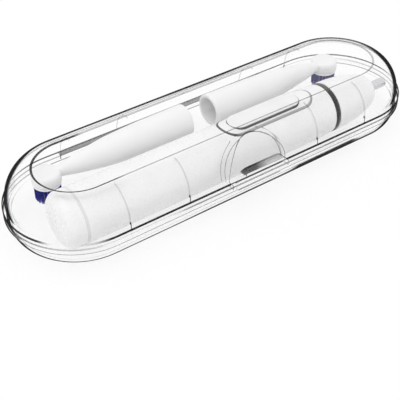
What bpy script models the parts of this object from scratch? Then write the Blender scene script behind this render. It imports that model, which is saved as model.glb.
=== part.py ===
"""Clear travel case for an electric toothbrush, closed round its handle and two brush heads.

The case lies along X with its hinge at the back (+Y) and its clasp at the front (-Y).
Z is up, the origin is under the middle of the case, and every length is in metres.
"""

import math

import bmesh
import bpy
from mathutils import Matrix, Vector

# Fits between separate pieces

GAP = 0.0003
OVERRUN = 0.002
MERGE_DISTANCE = 0.00001

# Toothbrush handle, measured along its axis from its bottom

HANDLE_RADIUS = 0.0138
HANDLE_WALL = 0.0016
BODY_LENGTH = 0.1444
TAPER_LENGTH = 0.0085
RING_WIDTH = 0.0024
RING_INSET = 0.0006
RING_DEPTH = 0.0011
SHOULDER_LENGTH = 0.030
NECK_RADIUS = 0.0052
NECK_BORE = 0.0042
NECK_BORE_LENGTH = 0.010
SHAFT_REACH = 0.0115
SHAFT_FLAT_LENGTH = 0.006
SHAFT_FLAT_DEPTH = 0.0007
BUSH_WALL = 0.001
CAP_LENGTH = 0.0083
CAP_ROUND = 0.005
CAP_SPIGOT = 0.005
CAP_WALL = 0.002
SEAL_THICKNESS = 0.0006

BRUSH_LENGTH = BODY_LENGTH + TAPER_LENGTH + RING_WIDTH + 2 * GAP + SHOULDER_LENGTH + SHAFT_REACH
RING_RADIUS = HANDLE_RADIUS - RING_INSET
GROOVE_RADIUS = RING_RADIUS - RING_DEPTH - GAP
HANDLE_BORE = HANDLE_RADIUS - HANDLE_WALL

# Grip pad and power button on top of the handle

PAD_LENGTH = 0.055
PAD_SETBACK = 0.0005
PAD_WIDTH = 0.0153
PAD_DEPTH = 0.0008
PAD_PROUD = 0.0002
BUTTON_BACK_MARGIN = 0.0056
BUTTON_FRONT_MARGIN = 0.008
BUTTON_WIDTH = 0.0112
BUTTON_PROUD = 0.0004
BUTTON_DEPTH = 0.0026
BUTTON_TRAVEL = 0.0006

# Brush heads, measured from the open end of the sleeve to the middle of the disc

HEAD_LENGTH = 0.0775
HEAD_SIDES = (-1, 1)
SOCKET_SPACING = 0.0142
SOCKET_RADIUS = 0.0082
SOCKET_BORE = 0.0066
SOCKET_DEPTH = 0.026
SLEEVE_END_RADIUS = 0.0025
SLEEVE_BELLY_SHARES = (
    (0.0, 1.0), (0.36, 0.96), (0.58, 0.79), (0.75, 0.47), (0.86, 0.20), (0.905, 0.04), (0.94, 0.0))
ROD_RADIUS = 0.0015
ROD_END_SHARE = 0.74
CUP_RADIUS = 0.0070
CUP_HEIGHT = 0.0052
CUP_ROUND = 0.0012
DISC_RADIUS = 0.0067
DISC_HEIGHT = 0.0012
BACKING_HEIGHT = 0.0006
BRISTLE_LENGTH = 0.0072
BRISTLE_RADIUS = 0.00016
TUFT_RADIUS = 0.00045
STRANDS_A_TUFT = 6
OUTER_TUFTS = 16
OUTER_TUFT_RING = 0.0056
INNER_TUFTS = 6
INNER_TUFT_RING = 0.0016
MIDDLE_TUFTS = 10
MIDDLE_TUFT_RING = 0.0032
BACKING_SPLIT = 0.0044

# The case, as large as what lies in it and the room left round that

WALL = 0.0014
BOTTOM_ROOM = 0.0165
TIP_ROOM = 0.0111
HEAD_END_ROOM = 0.016
FRONT_ROOM = 0.0084
MIDDLE_ROOM = 0.0046
BACK_ROOM = 0.0132
BUTTON_ROOM = 0.0009
HEAD_ROOM_ABOVE = 0.0016
BASE_HEIGHT = 0.012
FLANGE_REACH = 0.0014
FLANGE_HEIGHT = 0.0028
BASE_EDGE_RUN = 0.0054
SHOULDER_RUN = 0.0139
SHOULDER_LIFT = 0.0004
PANEL_RECESS = 0.0004
PANEL_STEP = 0.0005
LIP_THICKNESS = 0.001
LIP_HEIGHT = 0.0012
LIP_BLEND = 0.0013

HEADS_LENGTH = 2 * HEAD_LENGTH + SOCKET_SPACING + 2 * CUP_RADIUS
CASE_LENGTH = max(BRUSH_LENGTH + BOTTOM_ROOM + TIP_ROOM, HEADS_LENGTH + 2 * HEAD_END_ROOM)
CASE_WIDTH = FRONT_ROOM + 2 * HANDLE_RADIUS + MIDDLE_ROOM + 2 * SOCKET_RADIUS + BACK_ROOM
CASE_HEIGHT = WALL + GAP + 2 * HANDLE_RADIUS + BUTTON_PROUD + BUTTON_ROOM + WALL
SEAM = BASE_HEIGHT
FLANGE_HALF = CASE_WIDTH / 2
REACH = CASE_LENGTH / 2 - FLANGE_HALF
WALL_HALF = FLANGE_HALF - FLANGE_REACH
INNER_HALF = WALL_HALF - WALL
FLANGE_TOP = SEAM + FLANGE_HEIGHT
FLANGE_BOTTOM = SEAM - FLANGE_HEIGHT
FLOOR_HALF = WALL_HALF - BASE_EDGE_RUN
PANEL_HALF = WALL_HALF - SHOULDER_RUN
SHOULDER_BASE = FLANGE_TOP + SHOULDER_LIFT
SHOULDER_RISE = CASE_HEIGHT - SHOULDER_BASE

# Where the handle and its parts lie in the case

HANDLE_Y = FRONT_ROOM + HANDLE_RADIUS - FLANGE_HALF
HANDLE_Z = WALL + GAP + HANDLE_RADIUS
HANDLE_BOTTOM = BOTTOM_ROOM - CASE_LENGTH / 2
CAP_TOP = HANDLE_BOTTOM + CAP_LENGTH
SHELL_BOTTOM = CAP_TOP + SEAL_THICKNESS + 2 * GAP
TAPER_START = HANDLE_BOTTOM + BODY_LENGTH
RING_BACK = TAPER_START + TAPER_LENGTH
RING_PLACE = RING_BACK + GAP + RING_WIDTH / 2
RING_FRONT = RING_BACK + RING_WIDTH + 2 * GAP
SHOULDER_END = RING_FRONT + SHOULDER_LENGTH
SHAFT_END = SHOULDER_END + SHAFT_REACH
PAD_END = TAPER_START - PAD_SETBACK
PAD_START = PAD_END - PAD_LENGTH
BUTTON_START = PAD_START + BUTTON_BACK_MARGIN
BUTTON_END = PAD_END - BUTTON_FRONT_MARGIN

# Works inside the handle

COIL_LENGTH = 0.0101
COIL_WALL = 0.0034
FRAME_WALL = 0.0012
FRAME_OVERLAP = 0.004
BATTERY_SHARE = 0.735
BATTERY_LENGTH = 0.050
BATTERY_SETBACK = 0.003
MOTOR_SHARE = 0.755
MOTOR_LENGTH = 0.034
MOTOR_SETBACK = 0.006
BOARD_LENGTH = 0.070
BOARD_OVERLAP = 0.002
BOARD_THICKNESS = 0.001
BOARD_WIDTH_SHARE = 1.8
BOARD_LIFT_SHARE = 0.57
SWITCH_SIZE = 0.006

COIL_START = CAP_TOP + CAP_SPIGOT + GAP
FRAME_START = COIL_START + COIL_LENGTH + GAP
FRAME_END = TAPER_START + FRAME_OVERLAP
BATTERY_START = FRAME_START + BATTERY_SETBACK
MOTOR_END = TAPER_START - MOTOR_SETBACK
BOARD_END = TAPER_START + BOARD_OVERLAP
SWITCH_PLACE = (BUTTON_START + BUTTON_END) / 2
TAPER_SLOPE = (HANDLE_BORE - GROOVE_RADIUS + HANDLE_WALL) / TAPER_LENGTH
FRAME_OUTER = HANDLE_BORE - TAPER_SLOPE * FRAME_OVERLAP - GAP
FRAME_INNER = FRAME_OUTER - FRAME_WALL
BATTERY_RADIUS = FRAME_INNER * BATTERY_SHARE
MOTOR_RADIUS = FRAME_INNER * MOTOR_SHARE
BOARD_WIDTH = FRAME_INNER * BOARD_WIDTH_SHARE
BOARD_LIFT = FRAME_INNER * BOARD_LIFT_SHARE

# Where the brush heads lie, end to end behind the handle with their bristles down

HEAD_Y = FLANGE_HALF - BACK_ROOM - SOCKET_RADIUS
HEAD_Z = CASE_HEIGHT - WALL - HEAD_ROOM_ABOVE - SOCKET_RADIUS
SOCKETS_SHIFT = -0.0017
HEAD_SOCKETS = (SOCKETS_SHIFT - SOCKET_SPACING / 2, SOCKETS_SHIFT + SOCKET_SPACING / 2)

# Ribs moulded inside the lid, by their share of the case's straight run

LID_RIB_SHARES = (-0.903, -0.494, 0.0, 0.494, 0.903)
LID_RIB_WIDTH = 0.001
LID_RIB_DEPTH = 0.0008

# Finger scoop in the lid's front, and the ears of the rim beside it

SCOOP_HALF_WIDTH = 0.0166
SCOOP_HEIGHT = 0.0161
SCOOP_INSET = 0.0048
SCOOP_LEAN = 0.2975
SCOOP_SINK = 0.0003
EAR_WIDTH = 0.0026
EAR_REACH = 0.0016

# Living hinge along the back

HINGE_SHARE = 0.88
HINGE_SETBACK = 0.0032
LEAF_THICKNESS = 0.0014
WEB_RADIUS = 0.00035

HINGE_LENGTH = 2 * REACH * HINGE_SHARE
HINGE_Y = FLANGE_HALF + HINGE_SETBACK
HINGE_Z = SEAM
CASE_FRONT = HINGE_Y + WEB_RADIUS

# Clasp tab on the front

TAB_WIDTH = 0.0278
TAB_THICKNESS = 0.0015
TAB_RISE_OVER_FLANGE = 0.0064
TAB_CORNER = 0.0055
TAB_STANDOFF = 0.0004
TAB_LIP_HEIGHT = 0.0014
HOOK_WIDTH = 0.0156
HOOK_HEIGHT = 0.003
HOOK_OVERHANG = 0.0009
ROOT_BAR_HEIGHT = 0.0008
ROOT_BAR_REACH = 0.0005
ROOT_WIDTH = 0.025

TAB_BACK = FLANGE_HALF + TAB_STANDOFF
TAB_FRONT = TAB_BACK + TAB_THICKNESS
TAB_TOP = FLANGE_TOP + TAB_RISE_OVER_FLANGE
CLASP_Y = -(FLANGE_HALF + ROOT_BAR_REACH + GAP + WEB_RADIUS)
CLASP_Z = FLANGE_BOTTOM + ROOT_BAR_HEIGHT / 2
TAB_BOTTOM = CLASP_Z + WEB_RADIUS + GAP

# Supports moulded in the base, by the share of a head's length where they hold it

CRADLE_SHARES = (0.19, 0.71)
CRADLE_THICKNESS = 0.0012
CRADLE_MARGIN = 0.0013
CRADLE_WRAP_SHARE = 0.62
DIVIDER_THICKNESS = 0.0012
DIVIDER_DROP = 0.0006
DIVIDER_LENGTH = 0.026
CLIP_SHARE = 0.36
CLIP_LENGTH = 0.0074
CLIP_GAP_SHARE = 0.62
CLIP_THICKNESS = 0.0034
CLIP_DROP = 0.004
SADDLE_SETBACK = 0.0241
SADDLE_LENGTH = 0.0076
SADDLE_WALL = 0.0014
SADDLE_MARGIN = 0.0034
SADDLE_SINK = 0.0008
SADDLE_DROP = 0.0027
REST_SETBACK = 0.0049
REST_LENGTH = 0.0086
REST_MARGIN = 0.0033
REST_SINK = 0.00015
REST_DROP = 0.0035

# Fineness of round shapes

END_STEPS = 16
ARC_STEPS = 7
TURN_STEPS = 28
SLEEVE_STEPS = 22
PIN_STEPS = 16
STRAND_SIDES = 3

PARTS = "toothbrush_travel_case"
CUTTERS = "toothbrush_travel_case_cutters"


def clear_scene():
    """Remove what a new file holds."""
    for obj in list(bpy.data.objects):
        bpy.data.objects.remove(obj, do_unlink=True)


def make_collection(name):
    collection = bpy.data.collections.new(name)
    bpy.context.scene.collection.children.link(collection)
    return collection


def make_material(name, colour, roughness, metallic=0.0, alpha=1.0):
    """A Principled material for one sub-part."""
    material = bpy.data.materials.new(name)
    material.use_nodes = True
    shader = material.node_tree.nodes["Principled BSDF"]
    shader.inputs["Base Color"].default_value = (*colour, 1.0)
    shader.inputs["Roughness"].default_value = roughness
    shader.inputs["Metallic"].default_value = metallic
    shader.inputs["Alpha"].default_value = alpha
    return material


def add_object(name, mesh, cutter=False):
    """Put a mesh in the parts' collection, or hide it among the cutters."""
    obj = bpy.data.objects.new(name, mesh)
    bpy.data.collections[CUTTERS if cutter else PARTS].objects.link(obj)
    if cutter:
        obj.hide_render = True
        obj.display_type = "WIRE"
    return obj


def mesh_from(shape, name):
    bmesh.ops.recalc_face_normals(shape, faces=shape.faces)
    mesh = bpy.data.meshes.new(name)
    shape.to_mesh(mesh)
    shape.free()
    return mesh


def finish(obj, colour, roughness, metallic=0.0, alpha=1.0, smooth=True):
    """Give a sub-part its material and, where it is round, smooth shading."""
    obj.data.materials.append(make_material(obj.name, colour, roughness, metallic, alpha))
    if smooth:
        obj.data.shade_smooth()
        obj.data.set_sharp_from_angle(angle=math.radians(30))
    return obj


def combine(obj, other, operation):
    """Add a Boolean that joins, cuts or trims one object with another."""
    modifier = obj.modifiers.new(operation.lower(), "BOOLEAN")
    modifier.operation = operation
    modifier.solver = "EXACT"
    modifier.object = other


def arc(centre, run, rise, start, end, steps):
    """Points on a quarter ellipse, as (radius, height), with the ends included."""
    points = []
    for step in range(steps + 1):
        angle = start + (end - start) * step / steps
        points.append((centre[0] + run * math.cos(angle), centre[1] + rise * math.sin(angle)))
    return points


def racetrack(name, profile, cutter=False):
    """Sweep a profile of (radius, height) round a line of half length REACH."""
    shape = bmesh.new()
    verts = [shape.verts.new((REACH, -radius, height)) for radius, height in profile]
    geometry = list(verts) + [shape.edges.new(pair) for pair in zip(verts, verts[1:])]
    for side in (1, -1):
        turned = bmesh.ops.spin(
            shape, geom=geometry, cent=(side * REACH, 0, 0), axis=(0, 0, 1),
            angle=math.pi, steps=END_STEPS, use_merge=False)
        edges = [item for item in turned["geom_last"] if isinstance(item, bmesh.types.BMEdge)]
        drawn = bmesh.ops.extrude_edge_only(shape, edges=edges)["geom"]
        moved = [item for item in drawn if isinstance(item, bmesh.types.BMVert)]
        bmesh.ops.translate(shape, verts=moved, vec=(-2 * side * REACH, 0, 0))
        geometry = moved + [item for item in drawn if isinstance(item, bmesh.types.BMEdge)]
    bmesh.ops.remove_doubles(shape, verts=shape.verts, dist=MERGE_DISTANCE)
    return add_object(name, mesh_from(shape, name), cutter)


def add_box(shape, low, high):
    """Add a box between two corners to a shape under construction."""
    centre = (Vector(low) + Vector(high)) / 2
    size = Vector(high) - Vector(low)
    matrix = Matrix.Translation(centre) @ Matrix.Diagonal((*size, 1))
    bmesh.ops.create_cube(shape, size=1, matrix=matrix)


def boxes(name, corners, cutter=False):
    """One object of separate boxes, each given by its lowest and highest corner."""
    shape = bmesh.new()
    for low, high in corners:
        add_box(shape, low, high)
    return add_object(name, mesh_from(shape, name), cutter)


def turned_about_x(name, profile, axis_y, axis_z, steps, cutter=False):
    """Screw a profile of (radius, place along X) about an axis that runs along X."""
    mesh = bpy.data.meshes.new(name)
    points = [(radius, 0, place) for radius, place in profile]
    count = len(points)
    closed = profile[0][0] > 0
    edges = [(index, (index + 1) % count) for index in range(count if closed else count - 1)]
    mesh.from_pydata(points, edges, [])
    obj = add_object(name, mesh, cutter)
    obj.location = (0, axis_y, axis_z)
    obj.rotation_euler = (0, math.pi / 2, 0)
    screw = obj.modifiers.new("screw", "SCREW")
    screw.steps = steps
    screw.render_steps = steps
    screw.use_merge_vertices = True
    screw.merge_threshold = MERGE_DISTANCE
    return obj


def rod_along_x(name, start, end, radius, axis_y, axis_z, steps, cutter=False):
    profile = [(0, end), (radius, end), (radius, start), (0, start)]
    return turned_about_x(name, profile, axis_y, axis_z, steps, cutter)


def upright_disc(shape, centre, radius, bottom, top, steps):
    """Add a cylinder that stands along Z to a shape under construction."""
    matrix = Matrix.Translation((centre[0], centre[1], (bottom + top) / 2))
    bmesh.ops.create_cone(
        shape, cap_ends=True, segments=steps, radius1=radius, radius2=radius,
        depth=top - bottom, matrix=matrix)


def stadium_prism(name, start, end, width, axis_y, bottom, top, cutter=True):
    """A flat outline with round ends, drawn as a curve and extruded along Z."""
    radius = width / 2
    curve = bpy.data.curves.new(name, "CURVE")
    curve.dimensions = "2D"
    curve.fill_mode = "BOTH"
    curve.extrude = (top - bottom) / 2
    ends = ((end - radius, -math.pi / 2), (start + radius, math.pi / 2))
    points = []
    for centre, angle in ends:
        points += arc((centre, axis_y), radius, radius, angle, angle + math.pi, 2 * ARC_STEPS)
    return solid_from_curve(name, curve, points, (0, 0, (top + bottom) / 2), cutter)


def solid_from_curve(name, curve, points, location, cutter, rotation=(0, 0, 0)):
    """Turn a filled, extruded curve through its points into a welded mesh object."""
    spline = curve.splines.new("POLY")
    spline.points.add(len(points) - 1)
    for point, (x, y) in zip(spline.points, points):
        point.co = (x, y, 0, 1)
    spline.use_cyclic_u = True
    guide = bpy.data.objects.new(name + "_outline", curve)
    bpy.data.collections[CUTTERS].objects.link(guide)
    guide.location = location
    guide.rotation_euler = rotation
    bpy.context.view_layer.update()
    graph = bpy.context.evaluated_depsgraph_get()
    mesh = bpy.data.meshes.new_from_object(guide.evaluated_get(graph))
    shape = bmesh.new()
    shape.from_mesh(mesh)
    bmesh.ops.remove_doubles(shape, verts=shape.verts, dist=MERGE_DISTANCE)
    place = guide.matrix_world.copy()
    bpy.data.objects.remove(guide, do_unlink=True)
    bpy.data.meshes.remove(mesh)
    obj = add_object(name, mesh_from(shape, name), cutter)
    obj.matrix_world = place
    return obj


def base_profile(inset, top):
    """The base's side from the middle of its floor up to a height, moved in by a wall."""
    centre = (FLOOR_HALF, FLANGE_BOTTOM)
    curve = arc(centre, BASE_EDGE_RUN - inset, FLANGE_BOTTOM - inset, -math.pi / 2, 0, ARC_STEPS)
    return [(0, inset)] + curve + ([(WALL_HALF - inset, top)] if top > FLANGE_BOTTOM else [])


def lid_profile(inset, bottom):
    """The lid's side from the middle of its top down to a height, moved in by a wall."""
    centre = (PANEL_HALF, SHOULDER_BASE)
    curve = arc(centre, SHOULDER_RUN - inset, SHOULDER_RISE - inset, math.pi / 2, 0, ARC_STEPS + 1)
    return [(0, CASE_HEIGHT - inset)] + curve + [(WALL_HALF - inset, bottom)]


def sleeve_radius(distance):
    """Radius of a brush head's sleeve at a distance from its socket end."""
    share = distance / HEAD_LENGTH
    spread = SOCKET_RADIUS - SLEEVE_END_RADIUS
    for (low, low_size), (high, high_size) in zip(SLEEVE_BELLY_SHARES, SLEEVE_BELLY_SHARES[1:]):
        if share <= high:
            blend = (share - low) / (high - low)
            return SLEEVE_END_RADIUS + spread * (low_size + (high_size - low_size) * blend)
    return SLEEVE_END_RADIUS


def sleeve_outline(socket, side, growth):
    """Outer profile of a sleeve as (radius, place), running down its outer side."""
    last = SLEEVE_BELLY_SHARES[-1][0]
    shares = [share for share, size in SLEEVE_BELLY_SHARES]
    points = [(0, socket - side * growth)]
    points += [(sleeve_radius(share * HEAD_LENGTH) + growth, socket + side * share * HEAD_LENGTH)
               for share in shares]
    points[1] = (points[1][0], socket - side * growth)
    points.append((0, socket + side * last * HEAD_LENGTH))
    return points if side < 0 else points[::-1]


def handle_outline(growth):
    """Outer profile of the whole handle, from its shaft end down to its bottom."""
    points = [(0, SHOULDER_END + growth), (NECK_RADIUS + growth, SHOULDER_END + growth)]
    points += shoulder_points(growth)
    points += [(HANDLE_RADIUS + growth, TAPER_START), (HANDLE_RADIUS + growth, HANDLE_BOTTOM + CAP_ROUND)]
    corner = (HANDLE_RADIUS - CAP_ROUND, HANDLE_BOTTOM + CAP_ROUND)
    points += arc(corner, CAP_ROUND + growth, CAP_ROUND + growth, 0, -math.pi / 2, ARC_STEPS)[1:]
    points.append((0, HANDLE_BOTTOM - growth))
    return points


def shoulder_points(growth):
    """The handle's rounded shoulder, from just under the neck down to the ring."""
    points = []
    for step in range(1, ARC_STEPS + 1):
        share = 1 - step / ARC_STEPS
        place = RING_FRONT + (SHOULDER_END - RING_FRONT) * math.sin(share * math.pi / 2)
        radius = NECK_RADIUS + (RING_RADIUS - NECK_RADIUS) * math.cos(share * math.pi / 2)
        points.append((radius + growth, place))
    return points


def scoop(name, growth, bottom):
    """Solid that hollows the lid's front: a half-round arch with a leaning back face."""
    curve = bpy.data.curves.new(name, "CURVE")
    curve.dimensions = "2D"
    curve.fill_mode = "BOTH"
    curve.extrude = CASE_WIDTH / 4
    half_width = SCOOP_HALF_WIDTH + growth
    arch = arc((0, FLANGE_TOP), half_width, SCOOP_HEIGHT + growth, 0, math.pi, 3 * ARC_STEPS)
    points = [(half_width, bottom)] + arch + [(-half_width, bottom)]
    middle = -FLANGE_HALF
    obj = solid_from_curve(name, curve, points, (0, middle, 0), True, (math.pi / 2, 0, 0))
    place = obj.matrix_world
    back = SCOOP_INSET - FLANGE_HALF + growth * math.hypot(1, SCOOP_LEAN)
    for vertex in obj.data.vertices:
        point = place @ vertex.co
        if point.y > middle:
            point.y = back + SCOOP_LEAN * (point.z - FLANGE_TOP)
            vertex.co = place.inverted() @ point
    return obj


def leaf(bottom, top):
    """Corners of a hinge leaf behind the rim, as far as the web allows."""
    back = HINGE_Y - WEB_RADIUS - GAP
    return (-HINGE_LENGTH / 2, FLANGE_HALF - FLANGE_REACH / 2, bottom), (HINGE_LENGTH / 2, back, top)


def cradle_corners(socket, side, share):
    """Corners of one cradle rib, as high as it wraps the sleeve that lies in it."""
    place = socket + side * share * HEAD_LENGTH
    top = HEAD_Z - sleeve_radius(share * HEAD_LENGTH) * CRADLE_WRAP_SHARE
    half = CRADLE_THICKNESS / 2
    half_width = SOCKET_RADIUS + CRADLE_MARGIN
    return (place - half, HEAD_Y - half_width, -OVERRUN), (place + half, HEAD_Y + half_width, top)


def clip_corners(socket, head_side):
    """Corners of the two posts that stand on either side of a sleeve."""
    place = socket + head_side * CLIP_SHARE * HEAD_LENGTH
    reach = sleeve_radius(CLIP_SHARE * HEAD_LENGTH)
    pair = []
    for side in (-1, 1):
        near = HEAD_Y + side * reach * CLIP_GAP_SHARE
        far = near + side * CLIP_THICKNESS
        low = (place - CLIP_LENGTH / 2, min(near, far), -OVERRUN)
        pair.append((low, (place + CLIP_LENGTH / 2, max(near, far), HEAD_Z - CLIP_DROP)))
    return pair


def block_under_handle(start, end, half_width, top):
    """Corners of a block that stands under the handle's axis, from below the floor."""
    return (start, HANDLE_Y - half_width, -OVERRUN), (end, HANDLE_Y + half_width, top)


def make_base():
    lip_outer = INNER_HALF - GAP
    lip_inner = lip_outer - LIP_THICKNESS
    profile = base_profile(0, 0)
    profile += [(FLANGE_HALF, FLANGE_BOTTOM), (FLANGE_HALF, SEAM - GAP / 2)]
    profile += [(lip_outer, SEAM - GAP / 2), (lip_outer, SEAM + LIP_HEIGHT)]
    profile += [(lip_inner, SEAM + LIP_HEIGHT), (lip_inner, FLANGE_BOTTOM + LIP_BLEND)]
    profile += base_profile(WALL, 0)[::-1]
    base = racetrack("base_shell", profile)

    combine(base, make_supports(), "UNION")
    combine(base, boxes("base_leaf", [leaf(SEAM - GAP / 2 - LEAF_THICKNESS, SEAM - GAP / 2)], True), "UNION")
    bar = ((-ROOT_WIDTH / 2, -FLANGE_HALF - ROOT_BAR_REACH, FLANGE_BOTTOM),
           (ROOT_WIDTH / 2, -FLANGE_HALF + FLANGE_REACH / 2, FLANGE_BOTTOM + ROOT_BAR_HEIGHT))
    combine(base, boxes("clasp_root", [bar], True), "UNION")
    return finish(base, (0.93, 0.95, 0.96), 0.06, alpha=0.25)


def make_supports():
    """Everything that stands on the base's floor, cut to the shapes it carries."""
    blocks = []
    for socket, side in zip(HEAD_SOCKETS, HEAD_SIDES):
        blocks += [cradle_corners(socket, side, share) for share in CRADLE_SHARES]
        blocks += clip_corners(socket, side)
    middle = DIVIDER_THICKNESS / 2
    blocks.append(((-middle, FLANGE_HALF - DIVIDER_LENGTH, -OVERRUN),
                   (middle, FLANGE_HALF, SEAM - DIVIDER_DROP)))

    saddle_start = HANDLE_BOTTOM + SADDLE_SETBACK
    saddle_end = saddle_start + SADDLE_LENGTH
    saddle_inner = HANDLE_RADIUS - SADDLE_SINK
    saddle_top = HANDLE_Z - SADDLE_DROP
    blocks.append(block_under_handle(saddle_start, saddle_end, HANDLE_RADIUS + SADDLE_MARGIN, saddle_top))
    rest_end = SHOULDER_END - REST_SETBACK
    rest_start = rest_end - REST_LENGTH
    rest_inner = NECK_RADIUS + REST_SINK
    rest_top = HANDLE_Z - REST_DROP
    blocks.append(block_under_handle(rest_start, rest_end, NECK_RADIUS + REST_MARGIN, rest_top))
    supports = boxes("supports", blocks, cutter=True)
    saddle_room = block_under_handle(
        saddle_start + SADDLE_WALL, saddle_end + OVERRUN, saddle_inner, saddle_top + OVERRUN)
    rest_room = block_under_handle(
        rest_start - OVERRUN, rest_end - SADDLE_WALL, rest_inner, rest_top + OVERRUN)
    openings = boxes("support_openings", [saddle_room, rest_room], True)
    combine(supports, openings, "DIFFERENCE")
    combine(supports, support_limit(), "INTERSECT")
    seat = turned_about_x("handle_seat", handle_outline(GAP), HANDLE_Y, HANDLE_Z, TURN_STEPS, True)
    combine(supports, seat, "DIFFERENCE")
    for number, (socket, side) in enumerate(zip(HEAD_SOCKETS, HEAD_SIDES), 1):
        outline = sleeve_outline(socket, side, GAP)
        seat = turned_about_x(f"sleeve_seat_{number}", outline, HEAD_Y, HEAD_Z, SLEEVE_STEPS, True)
        combine(supports, seat, "DIFFERENCE")
    return supports


def support_limit():
    """Solid that keeps the supports inside the walls and clear of the lid."""
    half_wall = WALL / 2
    clear_half = INNER_HALF - LIP_THICKNESS - LID_RIB_DEPTH - 2 * GAP
    rim_half = INNER_HALF - GAP - LIP_THICKNESS / 2
    profile = base_profile(half_wall, 0)
    profile += [(rim_half, FLANGE_BOTTOM + LIP_BLEND), (rim_half, SEAM)]
    profile += [(clear_half, SEAM + GAP), (clear_half, HEAD_Z), (0, HEAD_Z)]
    return racetrack("support_limit", profile, cutter=True)


def make_lid():
    panel = CASE_HEIGHT - PANEL_RECESS
    bottom = SEAM + GAP / 2
    outside = lid_profile(0, FLANGE_TOP)[1:]
    profile = [(0, panel), (PANEL_HALF - PANEL_STEP, panel)] + outside
    profile += [(FLANGE_HALF, FLANGE_TOP), (FLANGE_HALF, bottom), (0, bottom)]
    lid = racetrack("lid_shell", profile)

    ears = []
    for side in (-1, 1):
        near = side * (TAB_WIDTH / 2 + GAP)
        far = near + side * EAR_WIDTH
        ears.append(((min(near, far), -FLANGE_HALF - EAR_REACH, bottom),
                     (max(near, far), -FLANGE_HALF + FLANGE_REACH, FLANGE_TOP)))
    combine(lid, boxes("rim_ears", ears, True), "UNION")
    combine(lid, boxes("lid_leaf", [leaf(bottom, bottom + LEAF_THICKNESS)], True), "UNION")
    combine(lid, scoop("scoop", 0, FLANGE_TOP - SCOOP_SINK), "DIFFERENCE")

    guard_bottom = SEAM + LIP_HEIGHT + GAP
    hollow = racetrack("lid_hollow", closed_hollow(WALL), cutter=True)
    combine(hollow, lid_ribs(), "DIFFERENCE")
    combine(hollow, scoop("scoop_wall", WALL, guard_bottom), "DIFFERENCE")
    combine(lid, hollow, "DIFFERENCE")
    return finish(lid, (0.93, 0.95, 0.96), 0.06, alpha=0.25)


def lid_ribs():
    """Slabs across the lid, cut away inside so that they stand little proud of its wall."""
    slabs = []
    for place in [REACH * share for share in LID_RIB_SHARES]:
        sides = (1,) if abs(place) < SCOOP_HALF_WIDTH else (-1, 1)
        for side in sides:
            edges = (side * PANEL_HALF, side * FLANGE_HALF)
            low = (place - LID_RIB_WIDTH / 2, min(edges), FLANGE_TOP)
            slabs.append((low, (place + LID_RIB_WIDTH / 2, max(edges), CASE_HEIGHT)))
    ribs = boxes("lid_ribs", slabs, cutter=True)
    combine(ribs, racetrack("lid_core", closed_hollow(WALL + LID_RIB_DEPTH), cutter=True), "DIFFERENCE")
    return ribs


def closed_hollow(inset):
    """Profile of the lid's hollow, running past its rim."""
    return lid_profile(inset, SEAM - OVERRUN) + [(0, SEAM - OVERRUN)]


def make_webs():
    """The thin flexing lines of the hinge and of the clasp, as round beads on their axes."""
    hinge = rod_along_x(
        "hinge_web", -HINGE_LENGTH / 2, HINGE_LENGTH / 2, WEB_RADIUS, HINGE_Y, HINGE_Z, STRAND_SIDES * 4)
    clasp = rod_along_x(
        "clasp_web", -ROOT_WIDTH / 2, ROOT_WIDTH / 2, WEB_RADIUS, CLASP_Y, CLASP_Z, STRAND_SIDES * 4)
    for web in (hinge, clasp):
        finish(web, (0.80, 0.82, 0.84), 0.25, alpha=0.5)


def make_clasp():
    """Tab that stands before the rim, hooks over the lid's flange and flares at its top."""
    curve = bpy.data.curves.new("tab_outline", "CURVE")
    curve.dimensions = "2D"
    curve.fill_mode = "BOTH"
    curve.extrude = TAB_WIDTH / 2
    lip_bottom = TAB_TOP - TAB_LIP_HEIGHT
    side = [(-TAB_BACK, TAB_BOTTOM), (-TAB_BACK, TAB_TOP), (-CASE_FRONT, TAB_TOP),
            (-CASE_FRONT, lip_bottom), (-TAB_FRONT, lip_bottom - TAB_LIP_HEIGHT), (-TAB_FRONT, TAB_BOTTOM)]
    tab = solid_from_curve(
        "clasp_tab", curve, side, (0, 0, 0), False, (math.pi / 2, 0, math.pi / 2))
    hook_bottom = FLANGE_TOP + GAP
    hook = boxes("clasp_hook", [(
        (-HOOK_WIDTH / 2, -TAB_BACK - TAB_THICKNESS / 2, hook_bottom),
        (HOOK_WIDTH / 2, -FLANGE_HALF + HOOK_OVERHANG, hook_bottom + HOOK_HEIGHT))], True)
    combine(tab, hook, "UNION")
    outline = bpy.data.curves.new("tab_front", "CURVE")
    outline.dimensions = "2D"
    outline.fill_mode = "BOTH"
    outline.extrude = CASE_WIDTH / 4
    half = TAB_WIDTH / 2
    turn = TAB_TOP - TAB_CORNER
    points = [(-half - OVERRUN, TAB_BOTTOM - OVERRUN), (half + OVERRUN, TAB_BOTTOM - OVERRUN),
              (half + OVERRUN, turn)]
    points += arc((half - TAB_CORNER, turn), TAB_CORNER, TAB_CORNER, 0, math.pi / 2, ARC_STEPS)
    points += arc((TAB_CORNER - half, turn), TAB_CORNER, TAB_CORNER, math.pi / 2, math.pi, ARC_STEPS)
    points.append((-half - OVERRUN, turn))
    front = solid_from_curve(
        "tab_rounding", outline, points, (0, -FLANGE_HALF, 0), True, (math.pi / 2, 0, 0))
    combine(tab, front, "INTERSECT")
    hang_on_axis(tab, (0, CLASP_Y, CLASP_Z))
    return finish(tab, (0.93, 0.95, 0.96), 0.06, alpha=0.3, smooth=False)


def hang_on_axis(obj, point):
    """Move an object's origin to its joint axis and leave its shape where it is."""
    bpy.context.view_layer.update()
    shift = Matrix.Translation(point).inverted() @ obj.matrix_world
    obj.data.transform(shift)
    obj.matrix_world = Matrix.Translation(point)


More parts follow.
